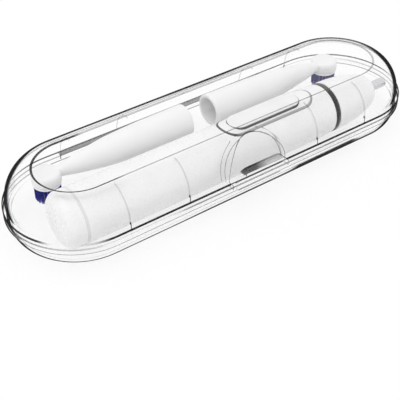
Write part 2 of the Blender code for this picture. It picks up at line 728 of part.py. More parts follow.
def make_handle():
    inner_taper = GROOVE_RADIUS - HANDLE_WALL
    neck_start = SHOULDER_END - NECK_BORE_LENGTH
    profile = [(NECK_BORE, SHOULDER_END), (NECK_RADIUS, SHOULDER_END)] + shoulder_points(0)
    profile += [(GROOVE_RADIUS, RING_FRONT), (GROOVE_RADIUS, RING_BACK), (RING_RADIUS, RING_BACK)]
    profile += [(HANDLE_RADIUS, TAPER_START), (HANDLE_RADIUS, SHELL_BOTTOM), (HANDLE_BORE, SHELL_BOTTOM)]
    profile += [(HANDLE_BORE, TAPER_START), (inner_taper, RING_BACK), (inner_taper, RING_FRONT)]
    profile += [(NECK_BORE + HANDLE_WALL, neck_start - HANDLE_WALL), (NECK_BORE, neck_start)]
    shell = turned_about_x("handle_shell", profile, HANDLE_Y, HANDLE_Z, TURN_STEPS)
    pocket = pad_solid("pad_pocket", GAP, HANDLE_RADIUS - PAD_DEPTH - GAP, HANDLE_RADIUS + OVERRUN, True)
    combine(shell, pocket, "DIFFERENCE")
    slot = stadium_prism(
        "button_slot", BUTTON_START - GAP, BUTTON_END + GAP, BUTTON_WIDTH + 2 * GAP, HANDLE_Y,
        HANDLE_Z, HANDLE_Z + HANDLE_RADIUS + OVERRUN)
    combine(shell, slot, "DIFFERENCE")
    finish(shell, (0.94, 0.94, 0.94), 0.28)

    pad = pad_solid("grip_pad", 0, HANDLE_RADIUS - PAD_DEPTH, HANDLE_RADIUS + PAD_PROUD, False)
    combine(pad, slot, "DIFFERENCE")
    finish(pad, (0.86, 0.87, 0.88), 0.55)

    ring = tube_along_x(
        "accent_ring", RING_PLACE - RING_WIDTH / 2, RING_PLACE + RING_WIDTH / 2, RING_RADIUS,
        RING_RADIUS - RING_DEPTH, TURN_STEPS)
    finish(ring, (0.015, 0.015, 0.015), 0.3)

    spigot_outer = HANDLE_BORE - GAP
    spigot_inner = spigot_outer - CAP_WALL
    spigot_top = CAP_TOP + CAP_SPIGOT
    cap = [(0, CAP_TOP), (spigot_inner, CAP_TOP), (spigot_inner, spigot_top), (spigot_outer, spigot_top)]
    cap += [(spigot_outer, CAP_TOP), (HANDLE_RADIUS, CAP_TOP), (HANDLE_RADIUS, HANDLE_BOTTOM + CAP_ROUND)]
    corner = (HANDLE_RADIUS - CAP_ROUND, HANDLE_BOTTOM + CAP_ROUND)
    cap += arc(corner, CAP_ROUND, CAP_ROUND, 0, -math.pi / 2, ARC_STEPS)[1:]
    cap.append((0, HANDLE_BOTTOM))
    finish(turned_about_x("bottom_cap", cap, HANDLE_Y, HANDLE_Z, TURN_STEPS), (0.92, 0.92, 0.92), 0.3)

    seal_bottom = CAP_TOP + GAP
    seal = tube_along_x(
        "bottom_seal", seal_bottom, seal_bottom + SEAL_THICKNESS, HANDLE_RADIUS - GAP, HANDLE_BORE,
        TURN_STEPS)
    finish(seal, (0.35, 0.36, 0.38), 0.6)


def pad_solid(name, growth, inner, outer, cutter):
    """A stadium of the handle's skin between two radii, on the top of the handle."""
    profile = [(outer, PAD_END + OVERRUN), (outer, PAD_START - OVERRUN),
               (inner, PAD_START - OVERRUN), (inner, PAD_END + OVERRUN)]
    skin = turned_about_x(name, profile, HANDLE_Y, HANDLE_Z, 2 * TURN_STEPS, cutter)
    stadium = stadium_prism(
        name + "_stadium", PAD_START - growth, PAD_END + growth, PAD_WIDTH + 2 * growth, HANDLE_Y,
        HANDLE_Z, HANDLE_Z + HANDLE_RADIUS + 2 * OVERRUN)
    combine(skin, stadium, "INTERSECT")
    return skin


def make_button():
    top = HANDLE_Z + HANDLE_RADIUS + BUTTON_PROUD
    button = stadium_prism(
        "power_button", BUTTON_START, BUTTON_END, BUTTON_WIDTH, HANDLE_Y, top - BUTTON_DEPTH, top, False)
    bevel = button.modifiers.new("bevel", "BEVEL")
    bevel.width = BUTTON_PROUD / 2
    bevel.segments = 2
    bevel.limit_method = "ANGLE"
    finish(button, (0.80, 0.81, 0.82), 0.45)


def make_works():
    """What the handle holds: frame, battery, motor, board, switch, coil, bush and shaft."""
    frame = tube_along_x("inner_frame", FRAME_START, FRAME_END, FRAME_OUTER, FRAME_INNER, TURN_STEPS)
    board_bottom = HANDLE_Z + BOARD_LIFT
    trim = boxes("frame_trim", [(
        (FRAME_START - OVERRUN, HANDLE_Y - HANDLE_RADIUS, board_bottom - GAP),
        (FRAME_END + OVERRUN, HANDLE_Y + HANDLE_RADIUS, HANDLE_Z + HANDLE_RADIUS))], True)
    combine(frame, trim, "DIFFERENCE")
    finish(frame, (0.55, 0.56, 0.58), 0.5)

    floor = HANDLE_Z - FRAME_INNER + GAP
    battery = rod_along_x(
        "battery", BATTERY_START, BATTERY_START + BATTERY_LENGTH, BATTERY_RADIUS, HANDLE_Y,
        floor + BATTERY_RADIUS, TURN_STEPS)
    finish(battery, (0.10, 0.35, 0.18), 0.4)
    motor = rod_along_x(
        "motor", MOTOR_END - MOTOR_LENGTH, MOTOR_END, MOTOR_RADIUS, HANDLE_Y, floor + MOTOR_RADIUS,
        TURN_STEPS)
    finish(motor, (0.65, 0.65, 0.66), 0.3, metallic=1.0)

    board_top = board_bottom + BOARD_THICKNESS
    board = boxes("circuit_board", [(
        (BOARD_END - BOARD_LENGTH, HANDLE_Y - BOARD_WIDTH / 2, board_bottom),
        (BOARD_END, HANDLE_Y + BOARD_WIDTH / 2, board_top))])
    finish(board, (0.05, 0.28, 0.12), 0.5, smooth=False)
    button_bottom = HANDLE_Z + HANDLE_RADIUS + BUTTON_PROUD - BUTTON_DEPTH
    switch = boxes("power_switch", [(
        (SWITCH_PLACE - SWITCH_SIZE / 2, HANDLE_Y - SWITCH_SIZE / 2, board_top + GAP),
        (SWITCH_PLACE + SWITCH_SIZE / 2, HANDLE_Y + SWITCH_SIZE / 2, button_bottom - BUTTON_TRAVEL - GAP))])
    finish(switch, (0.12, 0.12, 0.13), 0.5, smooth=False)

    coil = tube_along_x(
        "charging_coil", COIL_START, COIL_START + COIL_LENGTH, HANDLE_BORE - GAP,
        HANDLE_BORE - GAP - COIL_WALL, TURN_STEPS)
    finish(coil, (0.72, 0.38, 0.18), 0.4, metallic=0.8)
    bush_outer = NECK_BORE - GAP
    bush_inner = bush_outer - BUSH_WALL
    bush_start = SHOULDER_END - NECK_BORE_LENGTH + GAP
    bush = tube_along_x("shaft_bearing", bush_start, SHOULDER_END - GAP, bush_outer, bush_inner, PIN_STEPS)
    finish(bush, (0.75, 0.76, 0.78), 0.4)
    make_shaft(bush_inner - GAP)


def tube_along_x(name, start, end, outer, inner, steps):
    """A ring or tube on the handle's axis."""
    profile = [(outer, end), (outer, start), (inner, start), (inner, end)]
    return turned_about_x(name, profile, HANDLE_Y, HANDLE_Z, steps)


def make_shaft(radius):
    shaft = rod_along_x("drive_shaft", MOTOR_END + GAP, SHAFT_END, radius, HANDLE_Y, HANDLE_Z, PIN_STEPS)
    flat = boxes("shaft_flat", [(
        (SHAFT_END - SHAFT_FLAT_LENGTH, HANDLE_Y - HANDLE_RADIUS, HANDLE_Z + radius - SHAFT_FLAT_DEPTH),
        (SHAFT_END + OVERRUN, HANDLE_Y + HANDLE_RADIUS, HANDLE_Z + HANDLE_RADIUS))], True)
    combine(shaft, flat, "DIFFERENCE")
    finish(shaft, (0.75, 0.75, 0.77), 0.2, metallic=1.0)


def make_head(number, socket, side):
    """One brush head: sleeve with its cup, push rod, disc and two colours of bristle."""
    sleeve_last = SLEEVE_BELLY_SHARES[-1][0] * HEAD_LENGTH
    rod_end = ROD_END_SHARE * HEAD_LENGTH
    shares = [share for share, size in SLEEVE_BELLY_SHARES]
    outer = [(sleeve_radius(share * HEAD_LENGTH), socket + side * share * HEAD_LENGTH) for share in shares]
    inner = [(0, rod_end + GAP), (ROD_RADIUS + GAP, rod_end + GAP), (ROD_RADIUS + GAP, SOCKET_DEPTH),
             (SOCKET_BORE, SOCKET_DEPTH), (SOCKET_BORE, 0)]
    inner = [(radius, socket + side * distance) for radius, distance in inner]
    profile = [(0, socket + side * sleeve_last)] + outer[::-1] + inner[::-1]
    if side < 0:
        profile = profile[::-1]
    sleeve = turned_about_x(f"head_sleeve_{number}", profile, HEAD_Y, HEAD_Z, SLEEVE_STEPS)
    centre = (socket + side * HEAD_LENGTH, HEAD_Y)
    cup_bottom = HEAD_Z - CUP_HEIGHT / 2
    shape = bmesh.new()
    upright_disc(shape, centre, CUP_RADIUS, cup_bottom, cup_bottom + CUP_HEIGHT, SLEEVE_STEPS)
    cup = add_object(f"head_cup_{number}", mesh_from(shape, "head_cup"), cutter=True)
    bevel = cup.modifiers.new("bevel", "BEVEL")
    bevel.width = CUP_ROUND
    bevel.segments = 2
    bevel.limit_method = "ANGLE"
    combine(sleeve, cup, "UNION")
    finish(sleeve, (0.93, 0.93, 0.93), 0.35)
    ends = sorted((socket + side * SOCKET_DEPTH / 2, socket + side * rod_end))
    rod = rod_along_x(f"push_rod_{number}", *ends, ROD_RADIUS, HEAD_Y, HEAD_Z, PIN_STEPS // 2)
    finish(rod, (0.70, 0.71, 0.73), 0.3, metallic=1.0)

    disc_top = cup_bottom - GAP
    disc_bottom = disc_top - DISC_HEIGHT
    shape = bmesh.new()
    upright_disc(shape, centre, DISC_RADIUS, disc_bottom, disc_top, SLEEVE_STEPS)
    disc = add_object(f"brush_disc_{number}", mesh_from(shape, "brush_disc"))
    hang_on_axis(disc, (*centre, disc_bottom))
    finish(disc, (0.95, 0.95, 0.95), 0.35)
    backing_top = disc_bottom - GAP
    backing_bottom = backing_top - BACKING_HEIGHT
    inner_tufts = [(0, 0)] + tuft_ring(INNER_TUFTS, INNER_TUFT_RING)
    inner_tufts += tuft_ring(MIDDLE_TUFTS, MIDDLE_TUFT_RING)
    outer_tufts = tuft_ring(OUTER_TUFTS, OUTER_TUFT_RING)
    core = bmesh.new()
    upright_disc(core, centre, BACKING_SPLIT - GAP, backing_bottom, backing_top, SLEEVE_STEPS)
    white = add_object(f"bristles_white_{number}", mesh_from(core, "bristles_white"))
    rim = bmesh.new()
    upright_disc(rim, centre, DISC_RADIUS, backing_bottom, backing_top, SLEEVE_STEPS)
    blue = add_object(f"bristles_blue_{number}", mesh_from(rim, "bristles_blue"))
    hole = bmesh.new()
    upright_disc(hole, centre, BACKING_SPLIT, backing_bottom - OVERRUN, backing_top + OVERRUN, SLEEVE_STEPS)
    combine(blue, add_object(f"backing_hole_{number}", mesh_from(hole, "backing_hole"), cutter=True),
            "DIFFERENCE")
    for bristles, tufts, colour in (
            (white, inner_tufts, (0.94, 0.94, 0.94)), (blue, outer_tufts, (0.03, 0.05, 0.55))):
        combine(bristles, strands(bristles.name, centre, tufts, backing_bottom), "UNION")
        finish(bristles, colour, 0.5, smooth=False)


def tuft_ring(count, ring):
    """Places of tufts, even round a ring."""
    places = []
    for index in range(count):
        angle = 2 * math.pi * index / count
        places.append((ring * math.cos(angle), ring * math.sin(angle)))
    return places


def strands(name, centre, tufts, root):
    """Upright strands, gathered in tufts, that reach into the backing they stand on."""
    shape = bmesh.new()
    length = BRISTLE_LENGTH + BACKING_HEIGHT / 2
    for tuft_x, tuft_y in tufts:
        for ring_x, ring_y in [(0, 0)] + tuft_ring(STRANDS_A_TUFT - 1, TUFT_RADIUS):
            place = (centre[0] + tuft_x + ring_x, centre[1] + tuft_y + ring_y,
                     root + BACKING_HEIGHT / 2 - length / 2)
            bmesh.ops.create_cone(
                shape, cap_ends=True, segments=STRAND_SIDES, radius1=BRISTLE_RADIUS,
                radius2=BRISTLE_RADIUS, depth=length, matrix=Matrix.Translation(place))
    return add_object(name + "_strands", mesh_from(shape, "strands"), cutter=True)


def main():
    clear_scene()
    make_collection(PARTS)
    make_collection(CUTTERS)
    make_base()
    make_lid()
    make_webs()
    make_clasp()
    make_handle()
    make_button()
    make_works()
    for number, (socket, side) in enumerate(zip(HEAD_SOCKETS, HEAD_SIDES), 1):
        make_head(number, socket, side)


main()
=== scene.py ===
"""Looks for the toothbrush travel case: clear shells, white handle and brush heads, bristles."""

import math
import random

import bmesh
import bpy
from mathutils import Matrix, Vector


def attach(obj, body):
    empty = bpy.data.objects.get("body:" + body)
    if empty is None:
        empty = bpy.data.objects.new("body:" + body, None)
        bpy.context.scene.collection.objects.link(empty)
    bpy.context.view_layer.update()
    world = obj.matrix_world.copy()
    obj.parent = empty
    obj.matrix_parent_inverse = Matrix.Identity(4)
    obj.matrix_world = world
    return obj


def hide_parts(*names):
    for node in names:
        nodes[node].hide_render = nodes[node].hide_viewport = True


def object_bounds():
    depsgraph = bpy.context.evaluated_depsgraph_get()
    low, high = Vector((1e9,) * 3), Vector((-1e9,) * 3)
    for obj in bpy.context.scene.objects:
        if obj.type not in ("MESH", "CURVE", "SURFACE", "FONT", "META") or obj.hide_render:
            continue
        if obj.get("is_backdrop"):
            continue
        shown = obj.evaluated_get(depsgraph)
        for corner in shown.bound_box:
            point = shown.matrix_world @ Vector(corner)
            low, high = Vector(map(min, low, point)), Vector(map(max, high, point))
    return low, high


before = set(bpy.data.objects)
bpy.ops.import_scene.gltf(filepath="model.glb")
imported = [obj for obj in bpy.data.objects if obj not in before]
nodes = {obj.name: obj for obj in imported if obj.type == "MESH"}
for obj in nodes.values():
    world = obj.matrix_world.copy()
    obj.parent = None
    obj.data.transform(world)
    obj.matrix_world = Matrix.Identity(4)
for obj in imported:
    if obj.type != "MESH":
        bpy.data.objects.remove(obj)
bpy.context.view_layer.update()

# Sizes in metres, as the CAD part has them

GAP = 0.0003
WALL = 0.0014
REACH = 0.0774
FLANGE = 0.0351
OUTER = FLANGE - WALL
INNER = OUTER - WALL
SEAM = 0.012
FLANGE_TOP = 0.0148
FLANGE_BOTTOM = 0.0092
HEIGHT = 0.032
PANEL = 0.0198
PANEL_DROP = 0.0004
SHOULDER_BASE = 0.0152
FLOOR_HALF = 0.0283
LIP_TOP = SEAM + 0.0012
LIP_OUTER = INNER - GAP
LIP_INNER = LIP_OUTER - 0.001
HINGE_Y = 0.0383
HINGE_HALF = 0.0681
CLASP_Z = 0.0096
TAB_HALF = 0.0139
TAB_TOP = 0.0212
TAB_BACK = 0.0355
TAB_FRONT = 0.037
TAB_CORNER = 0.0055
SCOOP_HALF = 0.0166
SCOOP_HEIGHT = 0.0161
SCOOP_INSET = 0.0048
SCOOP_LEAN = 0.2975
HANDLE_Y = -0.0129
HANDLE_Z = 0.0155
HANDLE_RADIUS = 0.0138
HANDLE_BORE = 0.0122
HANDLE_BOTTOM = -0.096
CAP_TOP = -0.0877
SHELL_BOTTOM = -0.0865
TAPER_START = 0.0484
RING_BACK = 0.0569
RING_FRONT = 0.0599
RING_RADIUS = 0.0132
SHOULDER_END = 0.0899
NECK_RADIUS = 0.0052
PAD = (-0.0071, 0.0479, 0.00765)
BUTTON = (-0.0015, 0.0399, 0.0056)
BUTTON_TOP = 0.0297
HEAD_Y = 0.0137
HEAD_Z = 0.0208
HEAD_LENGTH = 0.0775
HEADS = ((1, -0.0088, -1), (2, 0.0054, 1))
SOCKET_RADIUS = 0.0082
BELLY = ((0.0, 1.0), (0.36, 0.96), (0.58, 0.79), (0.75, 0.47), (0.86, 0.20), (0.905, 0.04), (0.94, 0.0))
RIBS = (-0.903, -0.494, 0.0, 0.494, 0.903)
FAR = 0.002
BEAD = 0.00035
EDGE_ROUND = 0.0003

# Grain of the materials in repeats per metre, and limits of the clear plastic's painted edge-on darkness and
# its gloss

CLOUD_SCALE = 60.0
GRAIN_SCALE = 900.0
SOFT_GRAIN_SCALE = 1600.0
DRAWN_SCALE = 700.0
FINE_BUMP = 0.00004
GRIP_BUMP = 0.00008
SOFT_BUMP = 0.00006
EDGE_ON = (0.66, 0.71)
LEVEL_FACE = (0.93, 0.99)
SHEEN = (0.35, 0.95, 0.004, 0.35)


# Node helpers

def tree(name):
    """A new material and its emptied node tree."""
    material = bpy.data.materials.new(name)
    material.use_nodes = True
    material.node_tree.nodes.clear()
    return material, material.node_tree


def fill(nt, socket, value):
    if isinstance(value, bpy.types.NodeSocket):
        nt.links.new(value, socket)
    else:
        socket.default_value = value


def add(nt, kind, links=None, **values):
    """A node with some sockets set by value or linked, and other properties set by name."""
    made = nt.nodes.new(kind)
    for key, value in values.items():
        setattr(made, key, value)
    for key, value in (links or {}).items():
        fill(nt, made.inputs[key], value)
    return made


def maths(nt, operation, *values, clamp=False):
    made = add(nt, "ShaderNodeMath", operation=operation, use_clamp=clamp)
    for socket, value in zip(made.inputs, values):
        fill(nt, socket, value)
    return made.outputs[0]


def largest(nt, *values):
    """Largest of several values."""
    top = values[0]
    for value in values[1:]:
        top = maths(nt, "MAXIMUM", top, value)
    return top


def product(nt, *values):
    out = values[0]
    for value in values[1:]:
        out = maths(nt, "MULTIPLY", out, value)
    return out


def ramp(nt, value, low, high, out_low=0.0, out_high=1.0):
    """Smooth step of a value between two limits."""
    made = add(nt, "ShaderNodeMapRange", {
        "Value": value, "From Min": low, "From Max": high, "To Min": out_low, "To Max": out_high},
        interpolation_type="SMOOTHSTEP")
    return made.outputs["Result"]


def band(nt, value, centre, half, soft):
    """1 within half of a centre, fading to 0 over soft."""
    away = maths(nt, "ABSOLUTE", maths(nt, "SUBTRACT", value, centre))
    return ramp(nt, away, half, half + soft, 1.0, 0.0)


def past(nt, value, limit):
    """How far a value is over a limit, or 0."""
    return maths(nt, "MAXIMUM", maths(nt, "SUBTRACT", value, limit), 0.0)


def stadium_radius(nt, x, y, reach, centre=(0.0, 0.0)):
    """Distance from a line along X of a half length about a centre."""
    along = maths(nt, "ABSOLUTE", maths(nt, "SUBTRACT", x, centre[0]))
    beyond = past(nt, along, reach)
    across = maths(nt, "SUBTRACT", y, centre[1])
    return maths(nt, "SQRT", maths(nt, "ADD", product(nt, beyond, beyond), product(nt, across, across)))


def place(nt):
    """Object position as a vector and as x, y and z."""
    where = add(nt, "ShaderNodeTexCoord").outputs["Object"]
    return where, *add(nt, "ShaderNodeSeparateXYZ", {0: where}).outputs


def seen_rays(nt):
    """1 for rays from the camera, from gloss and through glass."""
    path = add(nt, "ShaderNodeLightPath")
    return largest(nt, path.outputs["Is Camera Ray"], path.outputs["Is Glossy Ray"],
                   path.outputs["Is Transmission Ray"])


def noise(nt, where, scale, detail=3.0, stretch=(1, 1, 1)):
    mapped = add(nt, "ShaderNodeMapping", {"Vector": where, "Scale": stretch}).outputs[0]
    return add(nt, "ShaderNodeTexNoise", {"Vector": mapped, "Scale": scale, "Detail": detail}).outputs[0]


def mixed(nt, factor, low, high):
    """Colour between two others."""
    made = add(nt, "ShaderNodeMix", data_type="RGBA")
    fill(nt, made.inputs["Factor"], factor)
    for socket, value in ((made.inputs["A"], low), (made.inputs["B"], high)):
        fill(nt, socket, value if isinstance(value, bpy.types.NodeSocket) else (*value, 1.0))
    return made.outputs["Result"]


def output(nt, shader):
    add(nt, "ShaderNodeOutputMaterial", {"Surface": shader.outputs[0]})


def plastic(name, colour, shade, roughness, bump=FINE_BUMP, scale=GRAIN_SCALE, coat=0.0,
            painted_darkness=None, painted_dark=None):
    """Moulded plastic: faint clouding, fine surface grain and a little wear in the gloss."""
    material, nt = tree(name)
    where, x, y, z = place(nt)
    grain = noise(nt, where, scale, 4.0)
    tone = mixed(nt, ramp(nt, noise(nt, where, CLOUD_SCALE), 0.35, 0.7), colour, shade)
    # Painted shade from the given mask, where one is given
    if painted_darkness:
        tone = mixed(nt, painted_darkness(nt, where, x, y, z), tone, painted_dark)
    relief = add(nt, "ShaderNodeBump", {"Height": grain, "Distance": bump, "Strength": 0.5}).outputs[0]
    output(nt, add(nt, "ShaderNodeBsdfPrincipled", {
        "Base Color": tone, "Normal": relief, "Coat Weight": coat,
        "Roughness": ramp(nt, grain, 0.3, 0.75, roughness * 0.85, roughness * 1.2)}))
    return material


def metal(name, colour, roughness, stretch=(1, 60, 60)):
    """Drawn or ground metal with fine lines along its length."""
    material, nt = tree(name)
    lines = noise(nt, place(nt)[0], DRAWN_SCALE, stretch=stretch)
    output(nt, add(nt, "ShaderNodeBsdfPrincipled", {
        "Base Color": mixed(nt, lines, [c * 0.8 for c in colour], colour), "Metallic": 1.0,
        "Roughness": ramp(nt, lines, 0.3, 0.7, roughness * 0.7, roughness * 1.4)}))
    return material


def clear(name, painted_darkness, tint=0.998):
    """Clear plastic that shows what is behind it, glossy by angle and painted dark where it is seen edge on.

    The given function paints the darkness: dark lines along moulded edges, how early an edge-on wall is
    painted dark (near 1) and how far. These stand for refraction in the thick plastic."""
    material, nt = tree(name)
    where, x, y, z = place(nt)
    facing = add(nt, "ShaderNodeLayerWeight", {"Blend": 0.5}).outputs["Facing"]
    lines, early, depth = painted_darkness(nt, where, x, y, z)
    normal = add(nt, "ShaderNodeTexCoord").outputs["Normal"]
    level = maths(nt, "ABSOLUTE", add(nt, "ShaderNodeSeparateXYZ", {0: normal}).outputs["Z"])
    curved = ramp(nt, level, *LEVEL_FACE, 1.0, 0.0)
    rim = product(nt, ramp(nt, product(nt, facing, early), *EDGE_ON), depth, curved)
    dark = maths(nt, "MAXIMUM", rim, lines, clamp=True)
    see = add(nt, "ShaderNodeBsdfTransparent", {"Color": (tint, tint, tint, 1)})
    gloss = add(nt, "ShaderNodeBsdfGlossy", {"Color": (1, 1, 1, 1), "Roughness": 0.04})
    sheen = ramp(nt, facing, *SHEEN)
    film = add(nt, "ShaderNodeMixShader", {0: sheen, 1: see.outputs[0], 2: gloss.outputs[0]})
    # Dark shader mixed in where darkness is painted: lines along moulded edges and walls seen edge on,
    # standing for refraction in the plastic
    painted_dark = add(nt, "ShaderNodeBsdfPrincipled", {
        "Base Color": (0.012, 0.012, 0.014, 1), "Roughness": 0.6, "Specular IOR Level": 0.0})
    output(nt, add(nt, "ShaderNodeMixShader", {0: dark, 1: film.outputs[0], 2: painted_dark.outputs[0]}))
    return material


# Mesh helpers

def to_mesh(shape, name):
    bmesh.ops.recalc_face_normals(shape, faces=shape.faces)
    mesh = bpy.data.meshes.new(name)
    shape.to_mesh(mesh)
    shape.free()
    return mesh


def show(name, mesh, material, body, replaces=(), smooth=38):
    """Show a mesh as a piece that rides on a body and may stand for CAD nodes."""
    piece = bpy.data.objects.new(name, mesh)
    bpy.context.scene.collection.objects.link(piece)
    mesh.materials.clear()
    mesh.materials.append(material)
    if smooth:
        mesh.shade_smooth()
        mesh.set_sharp_from_angle(angle=math.radians(smooth))
    if body:
        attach(piece, body)
    if replaces:
        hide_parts(*replaces)
    return piece


def show_cad(node, material):
    """Give a CAD node that stays in view its material and smooth shading."""
    piece = nodes[node]
    piece.data.materials.clear()
    piece.data.materials.append(material)
    piece.data.shade_smooth()
    piece.data.set_sharp_from_angle(angle=math.radians(35))


def boolean(mesh, other, operation):
    """The mesh joined with, cut by or trimmed to another."""
    pair = [bpy.data.objects.new("working", data) for data in (mesh, other)]
    for obj in pair:
        bpy.context.scene.collection.objects.link(obj)
    modifier = pair[0].modifiers.new("shape", "BOOLEAN")
    modifier.operation = operation
    modifier.solver = "EXACT"
    modifier.object = pair[1]
    graph = bpy.context.evaluated_depsgraph_get()
    result = bpy.data.meshes.new_from_object(pair[0].evaluated_get(graph))
    for obj in pair:
        bpy.data.objects.remove(obj, do_unlink=True)
    return result


def bevelled(mesh, width, segments=2, angle=40):
    """The mesh with its sharp edges rounded."""
    obj = bpy.data.objects.new("working", mesh)
    bpy.context.scene.collection.objects.link(obj)
    modifier = obj.modifiers.new("bevel", "BEVEL")
    modifier.width = width
    modifier.segments = segments
    modifier.limit_method = "ANGLE"
    modifier.angle_limit = math.radians(angle)
    graph = bpy.context.evaluated_depsgraph_get()
    result = bpy.data.meshes.new_from_object(obj.evaluated_get(graph))
    bpy.data.objects.remove(obj, do_unlink=True)
    return result


def rounded(points, radius, steps=4):
    """The same open profile with its sharp corners rounded."""
    out = [points[0]]
    for before, corner, after in zip(points, points[1:], points[2:]):
        a, c, b = Vector(before), Vector(corner), Vector(after)
        if (c - a).angle(b - c) < math.radians(25):
            out.append(corner)
            continue
        cut = min(radius, (a - c).length * 0.45, (b - c).length * 0.45)
        start = c + (a - c).normalized() * cut
        end = c + (b - c).normalized() * cut
        for k in range(steps + 1):
            t = k / steps
            out.append(tuple(start * (1 - t) ** 2 + c * 2 * t * (1 - t) + end * t ** 2))
    return out + [points[-1]]


def arc(centre, run, rise, start, end, steps):
    """Points on part of an ellipse, angles in degrees."""
    angles = [math.radians(start + (end - start) * k / steps) for k in range(steps + 1)]
    return [(centre[0] + run * math.cos(a), centre[1] + rise * math.sin(a)) for a in angles]


def loft(name, rings, ends=True):
    """Skin closed rings of the same count, with the first and last filled or joined to each other."""
    shape = bmesh.new()
    loops = [[shape.verts.new(point) for point in ring] for ring in rings]
    count = len(loops[0])
    pairs = list(zip(loops, loops[1:])) + ([] if ends else [(loops[-1], loops[0])])
    for a, b in pairs:
        for k in range(count):
            j = (k + 1) % count
            shape.faces.new((a[k], a[j], b[j], b[k]))
    if ends:
        shape.faces.new(loops[0])
        shape.faces.new(loops[-1])
    return to_mesh(shape, name)


def stadium(start, end, half, steps=16):
    """Outline of a slot shape along X as (x, y) about its middle line."""
    points = [(end - half + half * math.cos(t), half * math.sin(t))
              for t in (math.pi * (k / steps - 0.5) for k in range(steps + 1))]
    return points + [(start + half - half * math.cos(t), -half * math.sin(t))
                     for t in (math.pi * (k / steps - 0.5) for k in range(steps + 1))]


def sweep(name, profile, steps=44):
    """Sweep a profile of (radius, height) round the case's middle line, filled at both ends."""
    return loft(name, [[(x, y, height) for x, y in stadium(-REACH - radius, REACH + radius, radius, steps)]
                       for radius, height in profile])


def boxes(*corners):
    """Boxes between lowest and highest corners, as one mesh."""
    shape = bmesh.new()
    for low, high in corners:
        size = Vector(high) - Vector(low)
        matrix = Matrix.Translation((Vector(low) + Vector(high)) / 2) @ Matrix.Diagonal((*size, 1))
        bmesh.ops.create_cube(shape, size=1, matrix=matrix)
    return to_mesh(shape, "boxes")


def turned(name, profile, y, z, steps=96, closed=False):
    """A profile of (radius, x) turned about an axis along X."""
    shape = bmesh.new()
    rings = []
    for radius, x in profile:
        if radius < 1e-7:
            rings.append([shape.verts.new((x, y, z))] * steps)
            continue
        rings.append([shape.verts.new((x, y + radius * math.cos(math.tau * k / steps),
                                       z + radius * math.sin(math.tau * k / steps))) for k in range(steps)])
    for a, b in list(zip(rings, rings[1:])) + ([(rings[-1], rings[0])] if closed else []):
        for k in range(steps):
            j = (k + 1) % steps
            corners = list(dict.fromkeys((a[k], a[j], b[j], b[k])))
            if len(corners) > 2:
                shape.faces.new(corners)
    return to_mesh(shape, name)


def upright(name, profile, x, y, steps=64):
    """A profile of (radius, z) turned about an axis along Z, filled at both ends."""
    rings = [[(x + radius * math.cos(math.tau * k / steps), y + radius * math.sin(math.tau * k / steps), z)
              for k in range(steps)] for radius, z in profile]
    return loft(name, rings)


# Camera at the photo's angle

SENSOR_WIDTH = 36
FOCAL_PIXELS = 884.1
PHOTO_WIDTH = 400
CAMERA_SPOT = (-0.2125, -0.2903, 0.2677)
azimuth, elevation, roll = 0.6091, 0.6845, -0.0150
toward = Vector((math.sin(azimuth) * math.cos(elevation), math.cos(azimuth) * math.cos(elevation),
                 -math.sin(elevation)))
right = toward.cross(Vector((0, 0, 1))).normalized()
up = right.cross(toward)
tilted_right = math.cos(roll) * right + math.sin(roll) * up
tilted_up = math.cos(roll) * up - math.sin(roll) * right
camera = bpy.data.objects.new("camera", bpy.data.cameras.new("camera"))
bpy.context.scene.collection.objects.link(camera)
camera.data.sensor_width = SENSOR_WIDTH
camera.data.lens = SENSOR_WIDTH * FOCAL_PIXELS / PHOTO_WIDTH
camera.data.clip_start = 0.01
camera.matrix_world = Matrix.Translation(CAMERA_SPOT) @ Matrix(
    (tilted_right, tilted_up, -toward)).transposed().to_4x4()
bpy.context.scene.camera = camera

# Light and floor

SKY_LIGHT = 0.91
FLOOR_GLOW = 0.8
FLOOR_REACH = 3.0
FLOOR_DROP = 0.0001
FLOOR_SCALE = 40.0

bpy.context.scene.view_settings.view_transform = "Standard"
bpy.context.scene.cycles.transparent_max_bounces = 40
world = bpy.data.worlds.new("studio")
bpy.context.scene.world = world
world.use_nodes = True
wt = world.node_tree
wt.nodes.clear()
soft = add(wt, "ShaderNodeBackground", {"Color": (1, 1, 1, 1), "Strength": SKY_LIGHT})
white = add(wt, "ShaderNodeBackground", {"Color": (1, 1, 1, 1), "Strength": 1.0})
sky = add(wt, "ShaderNodeMixShader", {0: seen_rays(wt), 1: soft.outputs[0], 2: white.outputs[0]})
add(wt, "ShaderNodeOutputWorld", {"Surface": sky.outputs[0]})


def lamp(name, spot, size, power):
    """Rectangular lamp that points at the case."""
    data = bpy.data.lights.new(name, "AREA")
    data.shape = "RECTANGLE"
    data.size, data.size_y = size
    data.energy = power
    made = bpy.data.objects.new(name, data)
    bpy.context.scene.collection.objects.link(made)
    made.location = spot
    made.rotation_euler = (-Vector(spot)).to_track_quat("-Z", "Y").to_euler()


lamp("top_softbox", (0.0, 0.1, 0.8), (1.0, 0.8), 1.1)
lamp("left_softbox", (-0.6, 0.1, 0.5), (0.5, 0.5), 0.5)

floor_material, nt = tree("floor")
clouds = noise(nt, place(nt)[0], FLOOR_SCALE)
matt = add(nt, "ShaderNodeBsdfDiffuse", {
    "Color": mixed(nt, clouds, (0.95, 0.95, 0.95), (0.97, 0.97, 0.97))})
bright = add(nt, "ShaderNodeEmission", {"Strength": 1.0})
glow = product(nt, seen_rays(nt), FLOOR_GLOW)
output(nt, add(nt, "ShaderNodeMixShader", {0: glow, 1: matt.outputs[0], 2: bright.outputs[0]}))
ground = bmesh.new()
bmesh.ops.create_grid(ground, x_segments=1, y_segments=1, size=FLOOR_REACH,
                      matrix=Matrix.Translation((0, 0, -FLOOR_DROP)))
show("floor", to_mesh(ground, "floor"), floor_material, None, smooth=0)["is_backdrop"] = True
